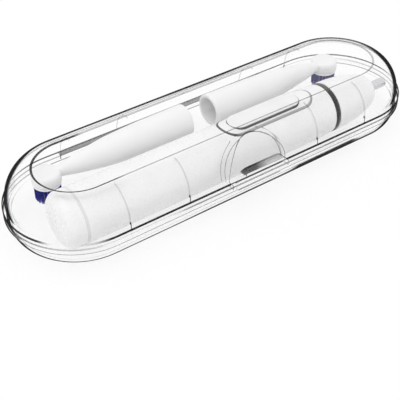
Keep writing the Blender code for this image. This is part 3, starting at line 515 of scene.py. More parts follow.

# Clear plastic, with dark lines painted along its moulded edges

FADE = 0.0001
FLANGE_EDGE = (FLANGE - 0.0006, FLANGE - 0.0003)
BEYOND_FLANGE = (FLANGE + 0.0002, FLANGE + 0.0003)
EDGE_HALF = 0.00028
PALE_STRAIGHT = 0.85
WALL_END = 0.004
WALL_PAINTED_DARK = 0.97
LID_INNER_LOSS = (0.14, 0.55)
BASE_INNER_LOSS = (0.15, 0.6)

# Painted dark lines on the lid, standing for refraction in its thick plastic: limits of each place, then its
# painted darkness or the painted darkness at both ends

LID_INNER_FACE = (0.955, 0.975)
LID_OUTER_FACE = (0.975, 0.985)
RIM_TOP = (FLANGE_TOP - 0.0010, FLANGE_TOP - 0.0008)
RIM_BREAKS = (14.0, 0.32, 0.38)
RIM_PAINTED_DARK = 0.97
SEAM_LINE = (SEAM + 0.0002, 0.00012, FADE)
SEAM_LINE_PAINTED_DARK = 0.3
PANEL_LINE = (PANEL - 0.0001, 0.0005, FADE)
PANEL_TOP = (HEIGHT - 0.0008, HEIGHT - 0.0006)
PANEL_PAINTED_DARK = (-0.068, -0.062, 0.92, 0.4)
BACK_LINE = (0.0262, 0.0010, 0.0008)
BACK_SIDE = (0.004, 0.010)
BACK_PAINTED_DARK = 0.12
RIB_SHIFT = 0.0004
RIB_LINE = (0.00018, 0.00008)
RIB_PAINTED_DARK = (FLANGE_TOP + 0.0008, FLANGE_TOP + 0.0014, 0.9, 0.2)
RIB_START = (PANEL, PANEL + 0.0005)
SCOOP_PAINTED_DARKS = ((0.0, 0.75), (WALL, 0.5))
ARCH_LINE = (1.0, 0.008, 0.004)
SCOOP_FRONT = (-0.020, -0.018)
LEFT_END = (-0.092, -0.086)
LEFT_BACK = (0.010, 0.014)
RIGHT_END = (0.092, 0.100)
RIGHT_FRONT = (0.004, 0.012)
END_BOOST = 0.07
LID_WAVE_SCALE = 18.0
LID_WAVE = (0.4, 0.62, 0.97, 1.02)
LID_SIDE = (0.0200, 0.0260)

# Painted dark lines on the base and the tab

BASE_INNER_FACE = (0.88, 0.93)
BASE_EDGE = (FLANGE_BOTTOM, 0.00025, FADE)
BASE_EDGE_PAINTED_DARK = 0.6
SEAM_TOP = (SEAM - 0.0005, SEAM - 0.0004)
SEAM_BREAKS = (11.0, 0.42, 0.5)
SEAM_TOP_PAINTED_DARK = 0.7
SADDLE_ALONG = (-0.0681, 0.0039, FADE)
SADDLE_ACROSS = (HANDLE_Y, 0.0173, FADE)
SADDLE_TOP = 0.0126
SADDLE_TOP_PAINTED_DARK = 0.6
SADDLE_SIDE = 0.0171
SADDLE_SIDE_PAINTED_DARK = 0.5
SADDLE_FOOT = (0.003, 0.004)
STROKE_ALONG = (0.044, 0.017, 0.008)
STROKE_FRONT = (-0.010, 0.0)
STROKE_DEPTH = 0.16
BASE_WAVE_SCALE = 12.0
BASE_WAVE = (0.45, 0.62, 0.97, 1.04)
BASE_SIDE = (0.0030, 0.0060)
TAB_BAR_SHADE_HEIGHTS = (TAB_TOP - 0.0016, TAB_TOP - 0.0010)
TAB_BAR_PAINTED_DARK = (-0.006, 0.004, 0.85, 0.35)
TAB_EARLY = (0.0, 0.02, 0.95, 1.0)
TAB_DEPTH = (0.0, 0.02, 0.5, 0.8)


def breaks(nt, where, scale, low, high):
    """Breaks in a drawn edge, as reflections on moulded plastic come and go."""
    return ramp(nt, noise(nt, where, scale, 2.0), low, high)


def oval(nt, across, run, along, rise):
    """Distance from an ellipse's centre, 1 on the ellipse."""
    a = maths(nt, "DIVIDE", across, run)
    b = maths(nt, "DIVIDE", along, rise)
    return maths(nt, "SQRT", maths(nt, "ADD", product(nt, a, a), product(nt, b, b)))


def edge_of(nt, value, limit):
    """1 within 0.3 mm of a limit, on both sides."""
    return band(nt, value, limit, EDGE_HALF, FADE)


def pale_wall(nt, x, away):
    """1, falling to 0.15 on the straight walls where away is 1, so that they stay clear from the ends."""
    along = maths(nt, "ABSOLUTE", x)
    straight = ramp(nt, along, REACH - WALL_END, REACH + WALL_END, 1.0, 0.0)
    return maths(nt, "MULTIPLY_ADD", product(nt, straight, away), -PALE_STRAIGHT, 1.0)


def wall_look(nt, thick, inside, early_loss, depth_loss, pale):
    """How early a wall is painted dark when seen edge on and how far, both less on its inner face."""
    early = product(nt, thick, maths(nt, "MULTIPLY_ADD", inside, -early_loss, 1.0))
    depth = maths(nt, "MULTIPLY_ADD", inside, -depth_loss, WALL_PAINTED_DARK)
    return early, product(nt, depth, pale)


def lid_painted_lines(nt, where, x, y, z):
    """Painted dark lines on the lid's rim, panel edge, ribs and finger scoop, and how far its walls are
    painted dark when seen edge on.
    """
    r = stadium_radius(nt, x, y, REACH)
    shell = oval(nt, past(nt, r, PANEL), OUTER - PANEL, past(nt, z, SHOULDER_BASE), HEIGHT - SHOULDER_BASE)
    inside = ramp(nt, shell, *LID_INNER_FACE, 1.0, 0.0)
    rim = product(nt, ramp(nt, r, *FLANGE_EDGE), ramp(nt, r, *BEYOND_FLANGE, 1.0, 0.0))
    # Painted dark lines at the rim's top, the seam, the panel step and the ribs
    top_edge = product(nt, ramp(nt, z, *RIM_TOP), rim, breaks(nt, where, *RIM_BREAKS), RIM_PAINTED_DARK)
    low_edge = product(nt, band(nt, z, *SEAM_LINE), rim, SEAM_LINE_PAINTED_DARK)
    step = product(nt, band(nt, r, *PANEL_LINE), ramp(nt, z, *PANEL_TOP))
    panel_edge = product(nt, step, ramp(nt, x, *PANEL_PAINTED_DARK))
    # Painted grey band along the back shoulder, standing for refraction in the thick wall
    back_band = product(nt, band(nt, z, *BACK_LINE), ramp(nt, y, *BACK_SIDE), BACK_PAINTED_DARK)
    ribs = largest(nt, *[band(nt, x, REACH * share + RIB_SHIFT, *RIB_LINE) for share in RIBS if share])
    rib_lines = product(nt, ribs, inside, ramp(nt, r, *RIB_START), ramp(nt, z, *RIB_PAINTED_DARK))
    lines = largest(nt, top_edge, low_edge, panel_edge, back_band, rib_lines)
    # Painted dark lines round the finger scoop's arch
    for growth, painted_dark in SCOOP_PAINTED_DARKS:
        rise = maths(nt, "SUBTRACT", z, FLANGE_TOP)
        arch = oval(nt, x, SCOOP_HALF + growth, rise, SCOOP_HEIGHT + growth)
        tunnel = product(nt, band(nt, arch, *ARCH_LINE), ramp(nt, y, *SCOOP_FRONT, 1.0, 0.0))
        lean = maths(nt, "MULTIPLY_ADD", rise, -SCOOP_LEAN, y)
        back = edge_of(nt, lean, SCOOP_INSET - FLANGE + growth * math.hypot(1, SCOOP_LEAN))
        front = ramp(nt, shell, *LID_OUTER_FACE) if growth == 0 else back
        lines = largest(nt, lines, product(nt, tunnel, largest(nt, back, front), painted_dark))
    # Walls painted dark earlier at the left back and right front ends, varied by a slow wave
    left = product(nt, ramp(nt, x, *LEFT_END, 1.0, 0.0), ramp(nt, y, *LEFT_BACK))
    right = product(nt, ramp(nt, x, *RIGHT_END), ramp(nt, y, *RIGHT_FRONT, 1.0, 0.0))
    boost = maths(nt, "MULTIPLY_ADD", inside, -END_BOOST, END_BOOST)
    thick = maths(nt, "ADD", ramp(nt, noise(nt, where, LID_WAVE_SCALE, 1.0), *LID_WAVE),
                  product(nt, largest(nt, left, right), boost))
    pale = pale_wall(nt, x, ramp(nt, z, *LID_SIDE, 1.0, 0.0))
    return lines, *wall_look(nt, thick, inside, *LID_INNER_LOSS, pale)


def base_painted_lines(nt, where, x, y, z):
    """Painted dark lines on the base's rim and its handle saddle, and how far its walls are painted dark
    when seen edge on.
    """
    r = stadium_radius(nt, x, y, REACH)
    drop = past(nt, FLANGE_BOTTOM, z)
    shell = oval(nt, past(nt, r, FLOOR_HALF), OUTER - FLOOR_HALF, drop, FLANGE_BOTTOM)
    inside = ramp(nt, shell, *BASE_INNER_FACE, 1.0, 0.0)
    rim = ramp(nt, r, *FLANGE_EDGE)
    low_edge = product(nt, band(nt, z, *BASE_EDGE), rim, BASE_EDGE_PAINTED_DARK)
    seam_edge = product(nt, ramp(nt, z, *SEAM_TOP), rim, breaks(nt, where, *SEAM_BREAKS), SEAM_TOP_PAINTED_DARK)
    saddle = product(nt, band(nt, x, *SADDLE_ALONG), band(nt, y, *SADDLE_ACROSS))
    away = maths(nt, "ABSOLUTE", maths(nt, "SUBTRACT", y, HANDLE_Y))
    saddle_top = product(nt, saddle, edge_of(nt, z, SADDLE_TOP), SADDLE_TOP_PAINTED_DARK)
    saddle_side = product(nt, saddle, ramp(nt, z, *SADDLE_FOOT), edge_of(nt, away, SADDLE_SIDE),
                          SADDLE_SIDE_PAINTED_DARK)
    lines = largest(nt, low_edge, seam_edge, saddle_top, saddle_side)
    # Painted dark stroke on the front wall right of the middle, added to how early the wall is painted dark
    # edge on
    stroke = product(nt, band(nt, x, *STROKE_ALONG), ramp(nt, y, *STROKE_FRONT, STROKE_DEPTH, 0.0))
    thick = maths(nt, "ADD", ramp(nt, noise(nt, where, BASE_WAVE_SCALE, 1.0), *BASE_WAVE), stroke)
    unstroked = maths(nt, "MULTIPLY_ADD", stroke, -1 / STROKE_DEPTH, 1.0)
    pale = pale_wall(nt, x, product(nt, ramp(nt, z, *BASE_SIDE), unstroked))
    return lines, *wall_look(nt, thick, inside, *BASE_INNER_LOSS, pale)


def tab_painted_lines(nt, where, x, y, z):
    """Painted dark bar along the tab's top, standing for shadow and dark reflection on its lip, strongest at
    its left.
    """
    bar = product(nt, ramp(nt, z, *TAB_BAR_SHADE_HEIGHTS), ramp(nt, x, *TAB_BAR_PAINTED_DARK))
    return bar, ramp(nt, z, *TAB_EARLY), ramp(nt, z, *TAB_DEPTH)


lid_clear = clear("lid_clear", lid_painted_lines)
base_clear = clear("base_clear", base_painted_lines)
tab_clear = clear("tab_clear", tab_painted_lines)

# Opaque plastics, rubbers and metals

# Painted shade at the grip pad's edge and the button's side
PAD_EDGE_SHADE = (0.0009, 0.0007)
PAD_LEFT = (0.004, 0.010)
PAD_RIGHT_SHADE = 0.6
BUTTON_SIDE = (0.0005, 0.0003)


def pad_painted_shade(nt, where, x, y, z):
    """Painted shade along the grip pad's outer edge, darkest towards its left end."""
    start, end, half = PAD
    r = stadium_radius(nt, x, y, (end - start) / 2 - half, ((start + end) / 2, HANDLE_Y))
    strong = ramp(nt, x, start + PAD_LEFT[0], start + PAD_LEFT[1], 1.0, PAD_RIGHT_SHADE)
    return product(nt, ramp(nt, r, half - PAD_EDGE_SHADE[0], half - PAD_EDGE_SHADE[1]), strong)


def button_painted_shade(nt, where, x, y, z):
    """Shade on the button's side, below its rounded top."""
    return ramp(nt, z, BUTTON_TOP - BUTTON_SIDE[0], BUTTON_TOP - BUTTON_SIDE[1], 1.0, 0.0)


WHITE = (0.90, 0.90, 0.90)
white_satin = plastic("white_satin", WHITE, (0.87, 0.87, 0.875), 0.3, coat=0.1)
head_white = plastic("head_white", WHITE, (0.88, 0.88, 0.885), 0.38)
black_gloss = plastic("black_gloss", (0.012, 0.012, 0.013), (0.02, 0.02, 0.02), 0.22)
# Grip pad and button with painted shade from their masks
grip_white = plastic("grip_white", (0.88, 0.885, 0.89), (0.85, 0.855, 0.86), 0.6, GRIP_BUMP,
                     SOFT_GRAIN_SCALE, painted_darkness=pad_painted_shade, painted_dark=(0.10, 0.10, 0.11))
button_soft = plastic("button_soft", (0.86, 0.86, 0.87), (0.82, 0.825, 0.83), 0.5, SOFT_BUMP,
                      SOFT_GRAIN_SCALE, painted_darkness=button_painted_shade, painted_dark=(0.13, 0.13, 0.14))
seal_white = plastic("seal_white", (0.78, 0.78, 0.79), (0.74, 0.74, 0.75), 0.6)
frame_grey = plastic("frame_grey", (0.55, 0.56, 0.58), (0.50, 0.51, 0.53), 0.5)
board_green = plastic("board_green", (0.05, 0.28, 0.12), (0.04, 0.22, 0.10), 0.4)
switch_black = plastic("switch_black", (0.05, 0.05, 0.055), (0.08, 0.08, 0.085), 0.5)
cell_green = plastic("cell_green", (0.10, 0.35, 0.18), (0.08, 0.30, 0.15), 0.4)
steel = metal("steel", (0.75, 0.75, 0.77), 0.22)
can_steel = metal("can_steel", (0.65, 0.65, 0.66), 0.35, (60, 1, 1))
copper = metal("copper", (0.75, 0.40, 0.20), 0.35, (300, 1, 1))

for node, look in (
        ("inner_frame", frame_grey), ("circuit_board", board_green), ("power_switch", switch_black),
        ("battery", cell_green), ("motor", can_steel), ("charging_coil", copper), ("drive_shaft", steel),
        ("shaft_bearing", frame_grey), ("push_rod_1", steel), ("push_rod_2", steel),
        ("hinge_web", tab_clear), ("clasp_web", tab_clear)):
    show_cad(node, look)

# Handle, its cap, ring, grip pad and button

SHOULDER_STEPS = 24
NECK_BORE = 0.0042
BORE_CONE = ((0.0058, 0.0783), (NECK_BORE, 0.0799))
GROOVE_DEPTH = 0.0014
GROOVE_WALL = 0.0016
POCKET_DEPTH = 0.0011
POCKET_RISE = 0.0025
BLOCK_TOP = 0.0325
SLOT_STEPS = 20
SKIN_STEPS = 144
PAD_RISE = 0.0002
PAD_RIM = ((0.0, 0.0010), (0.0, 0.00025), (-0.0001, 0.00008), (-0.0003, 0.0))
PAD_WINDOW = ((0.0006, 0.0), (0.0004, 0.00008), (GAP, 0.00025), (GAP, 0.0010))
BUTTON_SHAPE = ((0.0, 0.0026), (0.0, 0.0003), (-0.00008, 0.00012), (-0.0003, 0.0), (-0.0015, 0.0),
                (-0.0018, 0.00012), (-0.0050, 0.00016))
SPIGOT_WALL = 0.002
SPIGOT_LENGTH = 0.005
CAP_ROUND = 0.005
CAP_BREAK = 0.0002
SEAL_SETBACK = 0.0001
SEAL_ROUND = 0.0002
RING_SECTION = 0.0011
RING_BREAK = 0.0002

shoulder = []
for k in range(SHOULDER_STEPS + 1):
    turn = math.pi / 2 * (1 - k / SHOULDER_STEPS)
    shoulder.append((NECK_RADIUS + (RING_RADIUS - NECK_RADIUS) * math.cos(turn),
                     RING_FRONT + (SHOULDER_END - RING_FRONT) * math.sin(turn)))
groove = RING_RADIUS - GROOVE_DEPTH
profile = rounded([(NECK_BORE, SHOULDER_END), (NECK_RADIUS, SHOULDER_END)] + shoulder[1:-1]
                  + [(RING_RADIUS, RING_FRONT), (groove, RING_FRONT), (groove, RING_BACK),
                     (RING_RADIUS, RING_BACK), (HANDLE_RADIUS, TAPER_START), (HANDLE_RADIUS, SHELL_BOTTOM),
                     (HANDLE_BORE, SHELL_BOTTOM)], EDGE_ROUND, 3)
under_ring = groove - GROOVE_WALL
profile += [(HANDLE_BORE, TAPER_START), (under_ring, RING_BACK), (under_ring, RING_FRONT), *BORE_CONE]
shell = turned("handle_fine", profile, HANDLE_Y, HANDLE_Z, closed=True)


def on_skin(points, radius):
    """Points of a flat outline laid on the handle's skin at a radius."""
    return [(x, HANDLE_Y + y, HANDLE_Z + math.sqrt(radius ** 2 - y ** 2)) for x, y in points]


def grown(span, by):
    """Outline of a slot shape grown all round."""
    return stadium(span[0] - by, span[1] + by, span[2] + by, SLOT_STEPS)


def slot_block(span, by):
    """Upright block of a slot shape from the handle's axis to above its top."""
    return loft("block", [[(x, HANDLE_Y + y, z) for x, y in grown(span, by)] for z in (HANDLE_Z, BLOCK_TOP)])


inner, outer = HANDLE_RADIUS - POCKET_DEPTH, HANDLE_RADIUS + POCKET_RISE
low, high = PAD[0] - FAR, PAD[1] + FAR
skin_tube = turned("tube", [(outer, high), (outer, low), (inner, low), (inner, high)], HANDLE_Y, HANDLE_Z,
                   SKIN_STEPS, True)
shell = boolean(shell, boolean(skin_tube, slot_block(PAD, GAP), "INTERSECT"), "DIFFERENCE")
shell = boolean(shell, slot_block(BUTTON, GAP), "DIFFERENCE")
show("handle_fine", shell, white_satin, "base", ["handle_shell"])

skin = HANDLE_RADIUS + PAD_RISE
rings = [on_skin(grown(PAD, by), skin - drop) for by, drop in PAD_RIM]
rings += [on_skin(grown(BUTTON, by), skin - drop) for by, drop in PAD_WINDOW]
show("pad_fine", loft("pad_fine", rings, ends=False), grip_white, "base", ["grip_pad"])

rings = [[(x, HANDLE_Y + y, BUTTON_TOP - drop) for x, y in grown(BUTTON, by)] for by, drop in BUTTON_SHAPE]
show("button_fine", loft("button_fine", rings), button_soft, "button", ["power_button"])

spigot = HANDLE_BORE - GAP
spigot_top = CAP_TOP + SPIGOT_LENGTH
cap = [(0, CAP_TOP), (spigot - SPIGOT_WALL, CAP_TOP), (spigot - SPIGOT_WALL, spigot_top),
       (spigot, spigot_top), (spigot, CAP_TOP), (HANDLE_RADIUS - CAP_BREAK, CAP_TOP),
       (HANDLE_RADIUS, CAP_TOP - CAP_BREAK)]
cap += arc((HANDLE_RADIUS - CAP_ROUND, HANDLE_BOTTOM + CAP_ROUND), CAP_ROUND, CAP_ROUND, 0, -90, 20)
cap.append((0, HANDLE_BOTTOM))
show("cap_fine", turned("cap_fine", cap, HANDLE_Y, HANDLE_Z), white_satin, "base",
     ["bottom_cap"])

rim = HANDLE_RADIUS - SEAL_SETBACK
seal = [(HANDLE_BORE, CAP_TOP), (rim - SEAL_ROUND, CAP_TOP), (rim, CAP_TOP + SEAL_ROUND),
        (rim, SHELL_BOTTOM - SEAL_ROUND), (rim - SEAL_ROUND, SHELL_BOTTOM), (HANDLE_BORE, SHELL_BOTTOM)]
show("seal_fine", turned("seal_fine", seal, HANDLE_Y, HANDLE_Z, closed=True), seal_white, "base",
     ["bottom_seal"])

low, high = RING_BACK + GAP, RING_FRONT - GAP
ring_inside = RING_RADIUS - RING_SECTION
ring = [(ring_inside, low), (RING_RADIUS - RING_BREAK, low), (RING_RADIUS, low + EDGE_ROUND),
        (RING_RADIUS, high - EDGE_ROUND), (RING_RADIUS - RING_BREAK, high), (ring_inside, high)]
show("ring_fine", turned("ring_fine", ring, HANDLE_Y, HANDLE_Z, closed=True), black_gloss, "base",
     ["accent_ring"])


# Brush heads

SLEEVE_SHARE = 0.94
NECK_SIZE = 0.0025
BLUR_STEP = 0.02
BLUR_COUNT = 5
EASE = 12
SLEEVE_STEPS = 48
SEAT_STEPS = 30
HEAD_SIDES = 72
ROD_SHARE = 0.74
ROD_BORE = 0.0018
SOCKET_DEPTH = 0.026
SOCKET_BORE = 0.0066
MOUTH = 0.0069
MOUTH_DEPTH = 0.0004
CUP_HALF = 0.0026
CUP_RADIUS = 0.0070
CUP_ROUND = 0.0018
CUP_EDGE = 0.0067
CUP_BREAK = 0.0004
AXLE_HOLE = 0.0010
DISC_THICK = 0.0012
DISC_RADIUS = 0.0067
DISC_ROUND = 0.0002
TUFT_STRANDS = 19
TUFT_RADIUS = 0.00068
GOLDEN_TURN = 2.39996
STRAND_LEAN = 0.0001
STRAND_LENGTH = 0.0080
STRAND_SPREAD = (-0.00015, 0.00005)
STRAND_RADIUS = 0.00011
STRAND_LEVELS = 4
STRAND_SIDES = 4
WHITE_TUFTS = ((1, 0.0), (6, 0.0016), (10, 0.0032))
BLUE_TUFTS = ((20, 0.0056),)
BLUE_SEED = 10


def belly(share):
    """Radius of a head's sleeve, smooth along its length."""
    total = 0.0
    for step in range(-(BLUR_COUNT // 2), BLUR_COUNT // 2 + 1):
        ease = min(1.0, share * EASE, (SLEEVE_SHARE - share) * EASE)
        at = min(max(share + step * BLUR_STEP * ease, 0.0), SLEEVE_SHARE)
        for (low, low_size), (high, high_size) in zip(BELLY, BELLY[1:]):
            if at <= high:
                total += low_size + (high_size - low_size) * (at - low) / (high - low)
                break
    return NECK_SIZE + (SOCKET_RADIUS - NECK_SIZE) * total / BLUR_COUNT


def sleeve_line(steps):
    """Points of (radius, distance from the socket) along a head's sleeve."""
    return [(belly(SLEEVE_SHARE * k / steps), SLEEVE_SHARE * HEAD_LENGTH * k / steps)
            for k in range(steps + 1)]


def sleeve(socket, side):
    """The sleeve with its bore, joined to the cup over the brush disc."""
    outer = sleeve_line(SLEEVE_STEPS)
    outer[0] = (outer[0][0] - EDGE_ROUND, 0.0)
    outer.insert(1, (outer[1][0], EDGE_ROUND))
    rod = ROD_SHARE * HEAD_LENGTH + GAP
    inner = [(0, rod), (ROD_BORE, rod), (ROD_BORE, SOCKET_DEPTH), (SOCKET_BORE, SOCKET_DEPTH),
             (SOCKET_BORE, MOUTH_DEPTH), (MOUTH, 0.0)]
    profile = [(r, socket + side * d) for r, d in inner + outer + [(0, SLEEVE_SHARE * HEAD_LENGTH)]]
    body = turned("sleeve", profile, HEAD_Y, HEAD_Z, HEAD_SIDES)
    low, high = HEAD_Z - CUP_HALF, HEAD_Z + CUP_HALF
    cup = [(AXLE_HOLE, high)]
    cup += arc((CUP_RADIUS - CUP_ROUND, high - CUP_ROUND), CUP_ROUND, CUP_ROUND, 90, 0, 8)
    cup += [(CUP_RADIUS, low + CUP_BREAK), (CUP_EDGE, low), (AXLE_HOLE, low)]
    return boolean(body, upright("cup", cup, socket + side * HEAD_LENGTH, HEAD_Y), "UNION")


ROOT = HEAD_Z - CUP_HALF - GAP - DISC_THICK


def strand_look(name, root, tip):
    """Nylon strands, a little paler or darker from one to the next and towards the tip."""
    material, nt = tree(name)
    where, x, y, z = place(nt)
    each = noise(nt, where, GRAIN_SCALE, 1.0, (1, 1, 0))
    tone = mixed(nt, ramp(nt, z, 0.0085, 0.015), tip, root)
    varied = mixed(nt, ramp(nt, each, 0.3, 0.7), tone, [c * 0.8 for c in root])
    output(nt, add(nt, "ShaderNodeBsdfPrincipled", {
        "Base Color": varied, "Roughness": 0.4, "Specular IOR Level": 0.2}))
    return material


def tufts(name, centre, rings, seed):
    """Strands in tufts, each bent a little, growing down from the disc."""
    rng = random.Random(seed)
    shape = bmesh.new()
    for count, ring in rings:
        for index in range(count):
            angle = math.tau * index / count
            tuft = Vector((centre[0] + ring * math.cos(angle), centre[1] + ring * math.sin(angle), 0))
            for strand in range(TUFT_STRANDS):
                reach = TUFT_RADIUS * math.sqrt((strand + 0.5) / TUFT_STRANDS)
                turn = strand * GOLDEN_TURN
                foot = tuft + Vector((reach * math.cos(turn), reach * math.sin(turn), ROOT))
                lean = Vector((rng.uniform(-1, 1), rng.uniform(-1, 1), 0)) * STRAND_LEAN
                length = STRAND_LENGTH + rng.uniform(*STRAND_SPREAD)
                last = None
                for level in range(STRAND_LEVELS):
                    share = level / (STRAND_LEVELS - 1)
                    middle = foot + lean * share ** 2 - Vector((0, 0, length * share))
                    size = STRAND_RADIUS * (1 if level < STRAND_LEVELS - 1 else 0.5)
                    turns = [math.tau * k / STRAND_SIDES for k in range(STRAND_SIDES)]
                    loop = [shape.verts.new(middle + Vector((size * math.cos(t), size * math.sin(t), 0)))
                            for t in turns]
                    if last:
                        for k in range(STRAND_SIDES):
                            j = (k + 1) % STRAND_SIDES
                            shape.faces.new((last[k], last[j], loop[j], loop[k]))
                    else:
                        shape.faces.new(loop[::-1])
                    last = loop
                shape.faces.new(last)
    return to_mesh(shape, name)


blue_strands = strand_look("blue_strands", (0.010, 0.008, 0.26), (0.015, 0.02, 0.38))
white_strands = strand_look("white_strands", (0.80, 0.80, 0.80), (0.9, 0.9, 0.9))
disc_top = ROOT + DISC_THICK
disc_profile = [(AXLE_HOLE, disc_top), (DISC_RADIUS - DISC_ROUND, disc_top),
                (DISC_RADIUS, disc_top - DISC_ROUND), (DISC_RADIUS, ROOT + DISC_ROUND),
                (DISC_RADIUS - DISC_ROUND, ROOT), (AXLE_HOLE, ROOT)]
for number, socket, side in HEADS:
    show(f"sleeve_fine_{number}", sleeve(socket, side), head_white, "base", [f"head_sleeve_{number}"])
    centre = (socket + side * HEAD_LENGTH, HEAD_Y)
    show(f"disc_fine_{number}", upright("disc", disc_profile, *centre), head_white, f"disc_{number}",
         [f"brush_disc_{number}"])
    show(f"strands_white_{number}", tufts("w", centre, WHITE_TUFTS, number),
         white_strands, f"disc_{number}", [f"bristles_white_{number}"], 0)
    show(f"strands_blue_{number}", tufts("b", centre, BLUE_TUFTS, BLUE_SEED + number),
         blue_strands, f"disc_{number}", [f"bristles_blue_{number}"], 0)

# Lid shell

SCOOP_REACH = 0.02
PANEL_RING = 0.003
PANEL_FILLET = 0.0006
PANEL_BREAK = 0.0001
PANEL_DIP = 0.00002
RIM_UNDERSIDE = 0.001
EAR_WIDTH = 0.0026
EAR_REACH = 0.0016
LEAF_START = 0.0007
RIB_HALF = 0.0005
RIB_RISE = 0.0008


def lid_side(inset, steps=26):
    """Outside of the lid's shoulder from the panel down to the wall's foot, moved in by a wall."""
    return arc((PANEL, SHOULDER_BASE), OUTER - PANEL - inset, HEIGHT - SHOULDER_BASE - inset, 90, 0, steps)


def scoop(growth, bottom):
    """Solid that hollows the lid's front: a half-round arch with a leaning back face."""
    half = SCOOP_HALF + growth
    arch = arc((0, FLANGE_TOP), half, SCOOP_HEIGHT + growth, 0, 180, 48)
    outline = [(half, bottom)] + arch + [(-half, bottom)]
    back = SCOOP_INSET - FLANGE + growth * math.hypot(1, SCOOP_LEAN)
    rings = [[(x, -FLANGE - SCOOP_REACH, z) for x, z in outline],
             [(x, back + SCOOP_LEAN * (z - FLANGE_TOP), z) for x, z in outline]]
    return loft("scoop", rings)


bottom = SEAM + GAP / 2
shelf = HEIGHT - PANEL_DROP
head = [(PANEL - PANEL_RING, shelf), (PANEL - PANEL_FILLET, shelf),
        (PANEL - PANEL_BREAK, HEIGHT - PANEL_DIP)]
foot = [(OUTER, FLANGE_TOP), (FLANGE, FLANGE_TOP), (FLANGE, bottom), (FLANGE - RIM_UNDERSIDE, bottom)]
lid = sweep("lid", rounded(head + lid_side(0)[1:] + foot, EDGE_ROUND, 3))
ears = []
for side in (-1, 1):
    near, far = sorted((side * (TAB_HALF + GAP), side * (TAB_HALF + GAP + EAR_WIDTH)))
    ears.append(((near, -FLANGE - EAR_REACH, bottom), (far, -FLANGE + WALL, FLANGE_TOP)))
leaf_back = HINGE_Y - BEAD - GAP
lid = boolean(lid, bevelled(boxes(*ears), EDGE_ROUND), "UNION")
leaf = boxes(((-HINGE_HALF, FLANGE - LEAF_START, bottom), (HINGE_HALF, leaf_back, bottom + WALL)))
lid = boolean(lid, leaf, "UNION")
lid = boolean(lid, scoop(0, FLANGE_TOP - GAP), "DIFFERENCE")
slabs = []
for at in [REACH * share for share in RIBS]:
    for side in ((1,) if abs(at) < SCOOP_HALF else (-1, 1)):
        edges = sorted((side * PANEL, side * FLANGE))
        slabs.append(((at - RIB_HALF, edges[0], FLANGE_TOP), (at + RIB_HALF, edges[1], HEIGHT)))
core = sweep("core", lid_side(WALL + RIB_RISE) + [(OUTER - WALL - RIB_RISE, SEAM - FAR)])
hollow = sweep("hollow", lid_side(WALL) + [(INNER, SEAM - FAR)])
hollow = boolean(hollow, boolean(boxes(*slabs), core, "DIFFERENCE"), "DIFFERENCE")
hollow = boolean(hollow, scoop(WALL, LIP_TOP + GAP), "DIFFERENCE")
lid = boolean(lid, hollow, "DIFFERENCE")
show("lid_fine", lid, lid_clear, "lid", ["lid_shell"])

# Base shell with its supports

HOLD_SHARE = 0.62
CRADLE_SHARES = (0.19, 0.71)
CRADLE_HALF = 0.0006
CRADLE_MARGIN = 0.0013
CLIP_SHARE = 0.36
CLIP_HALF = 0.0037
CLIP_THICK = 0.0034
CLIP_DROP = 0.004
DIVIDER_HALF = 0.0006
DIVIDER_LENGTH = 0.026
DIVIDER_DROP = 0.0006
SADDLE_START = HANDLE_BOTTOM + 0.0241
SADDLE_LENGTH = 0.0076
SADDLE_MARGIN = 0.0034
SADDLE_DROP = 0.0027
SADDLE_SHELL = 0.0008
REST_END = SHOULDER_END - 0.0049
REST_LENGTH = 0.0086
REST_MARGIN = 0.0033
REST_DROP = 0.0035
REST_ROOM = 0.00015
LIP_SPARE = 0.0005
LIP_FOOT = 0.0013
WALL_SPARE = 0.0018
BASE_ROUND = 0.0002
BAR_HALF = 0.0125
BAR_FRONT = 0.0005
BAR_BACK = 0.0007
BAR_TOP = 0.010


def base_side(inset, steps=18):
    """Outside of the base from its floor up to the flange, moved in by a wall."""
    return arc((FLOOR_HALF, FLANGE_BOTTOM), OUTER - FLOOR_HALF - inset, FLANGE_BOTTOM - inset, -90, 0, steps)


def cradle(socket, side, share):
    """Upright rib under a head."""
    at = socket + side * share * HEAD_LENGTH
    top = HEAD_Z - belly(share) * HOLD_SHARE
    half = SOCKET_RADIUS + CRADLE_MARGIN
    return (at - CRADLE_HALF, HEAD_Y - half, -FAR), (at + CRADLE_HALF, HEAD_Y + half, top)


def clip(socket, head_side):
    """Pair of posts that hold a head from both sides."""
    at = socket + head_side * CLIP_SHARE * HEAD_LENGTH
    pair = []
    for side in (-1, 1):
        near = HEAD_Y + side * belly(CLIP_SHARE) * HOLD_SHARE
        spread = sorted((near, near + side * CLIP_THICK))
        pair.append(((at - CLIP_HALF, spread[0], -FAR), (at + CLIP_HALF, spread[1], HEAD_Z - CLIP_DROP)))
    return pair


def under_handle(start, end, half, top):
    """Block below the handle's axis."""
    return (start, HANDLE_Y - half, -FAR), (end, HANDLE_Y + half, top)


blocks = []
for number, socket, side in HEADS:
    blocks += [cradle(socket, side, share) for share in CRADLE_SHARES] + clip(socket, side)
blocks.append(((-DIVIDER_HALF, FLANGE - DIVIDER_LENGTH, -FAR), (DIVIDER_HALF, FLANGE, SEAM - DIVIDER_DROP)))
saddle_end = SADDLE_START + SADDLE_LENGTH
rest_start = REST_END - REST_LENGTH
blocks.append(under_handle(SADDLE_START, saddle_end, HANDLE_RADIUS + SADDLE_MARGIN, HANDLE_Z - SADDLE_DROP))
blocks.append(under_handle(rest_start, REST_END, NECK_RADIUS + REST_MARGIN, HANDLE_Z - REST_DROP))
rooms = [under_handle(SADDLE_START + WALL, saddle_end + FAR, HANDLE_RADIUS - SADDLE_SHELL, HANDLE_Z),
         under_handle(rest_start - FAR, REST_END - WALL, NECK_RADIUS + REST_ROOM, HANDLE_Z)]
supports = boolean(boxes(*blocks), boxes(*rooms), "DIFFERENCE")
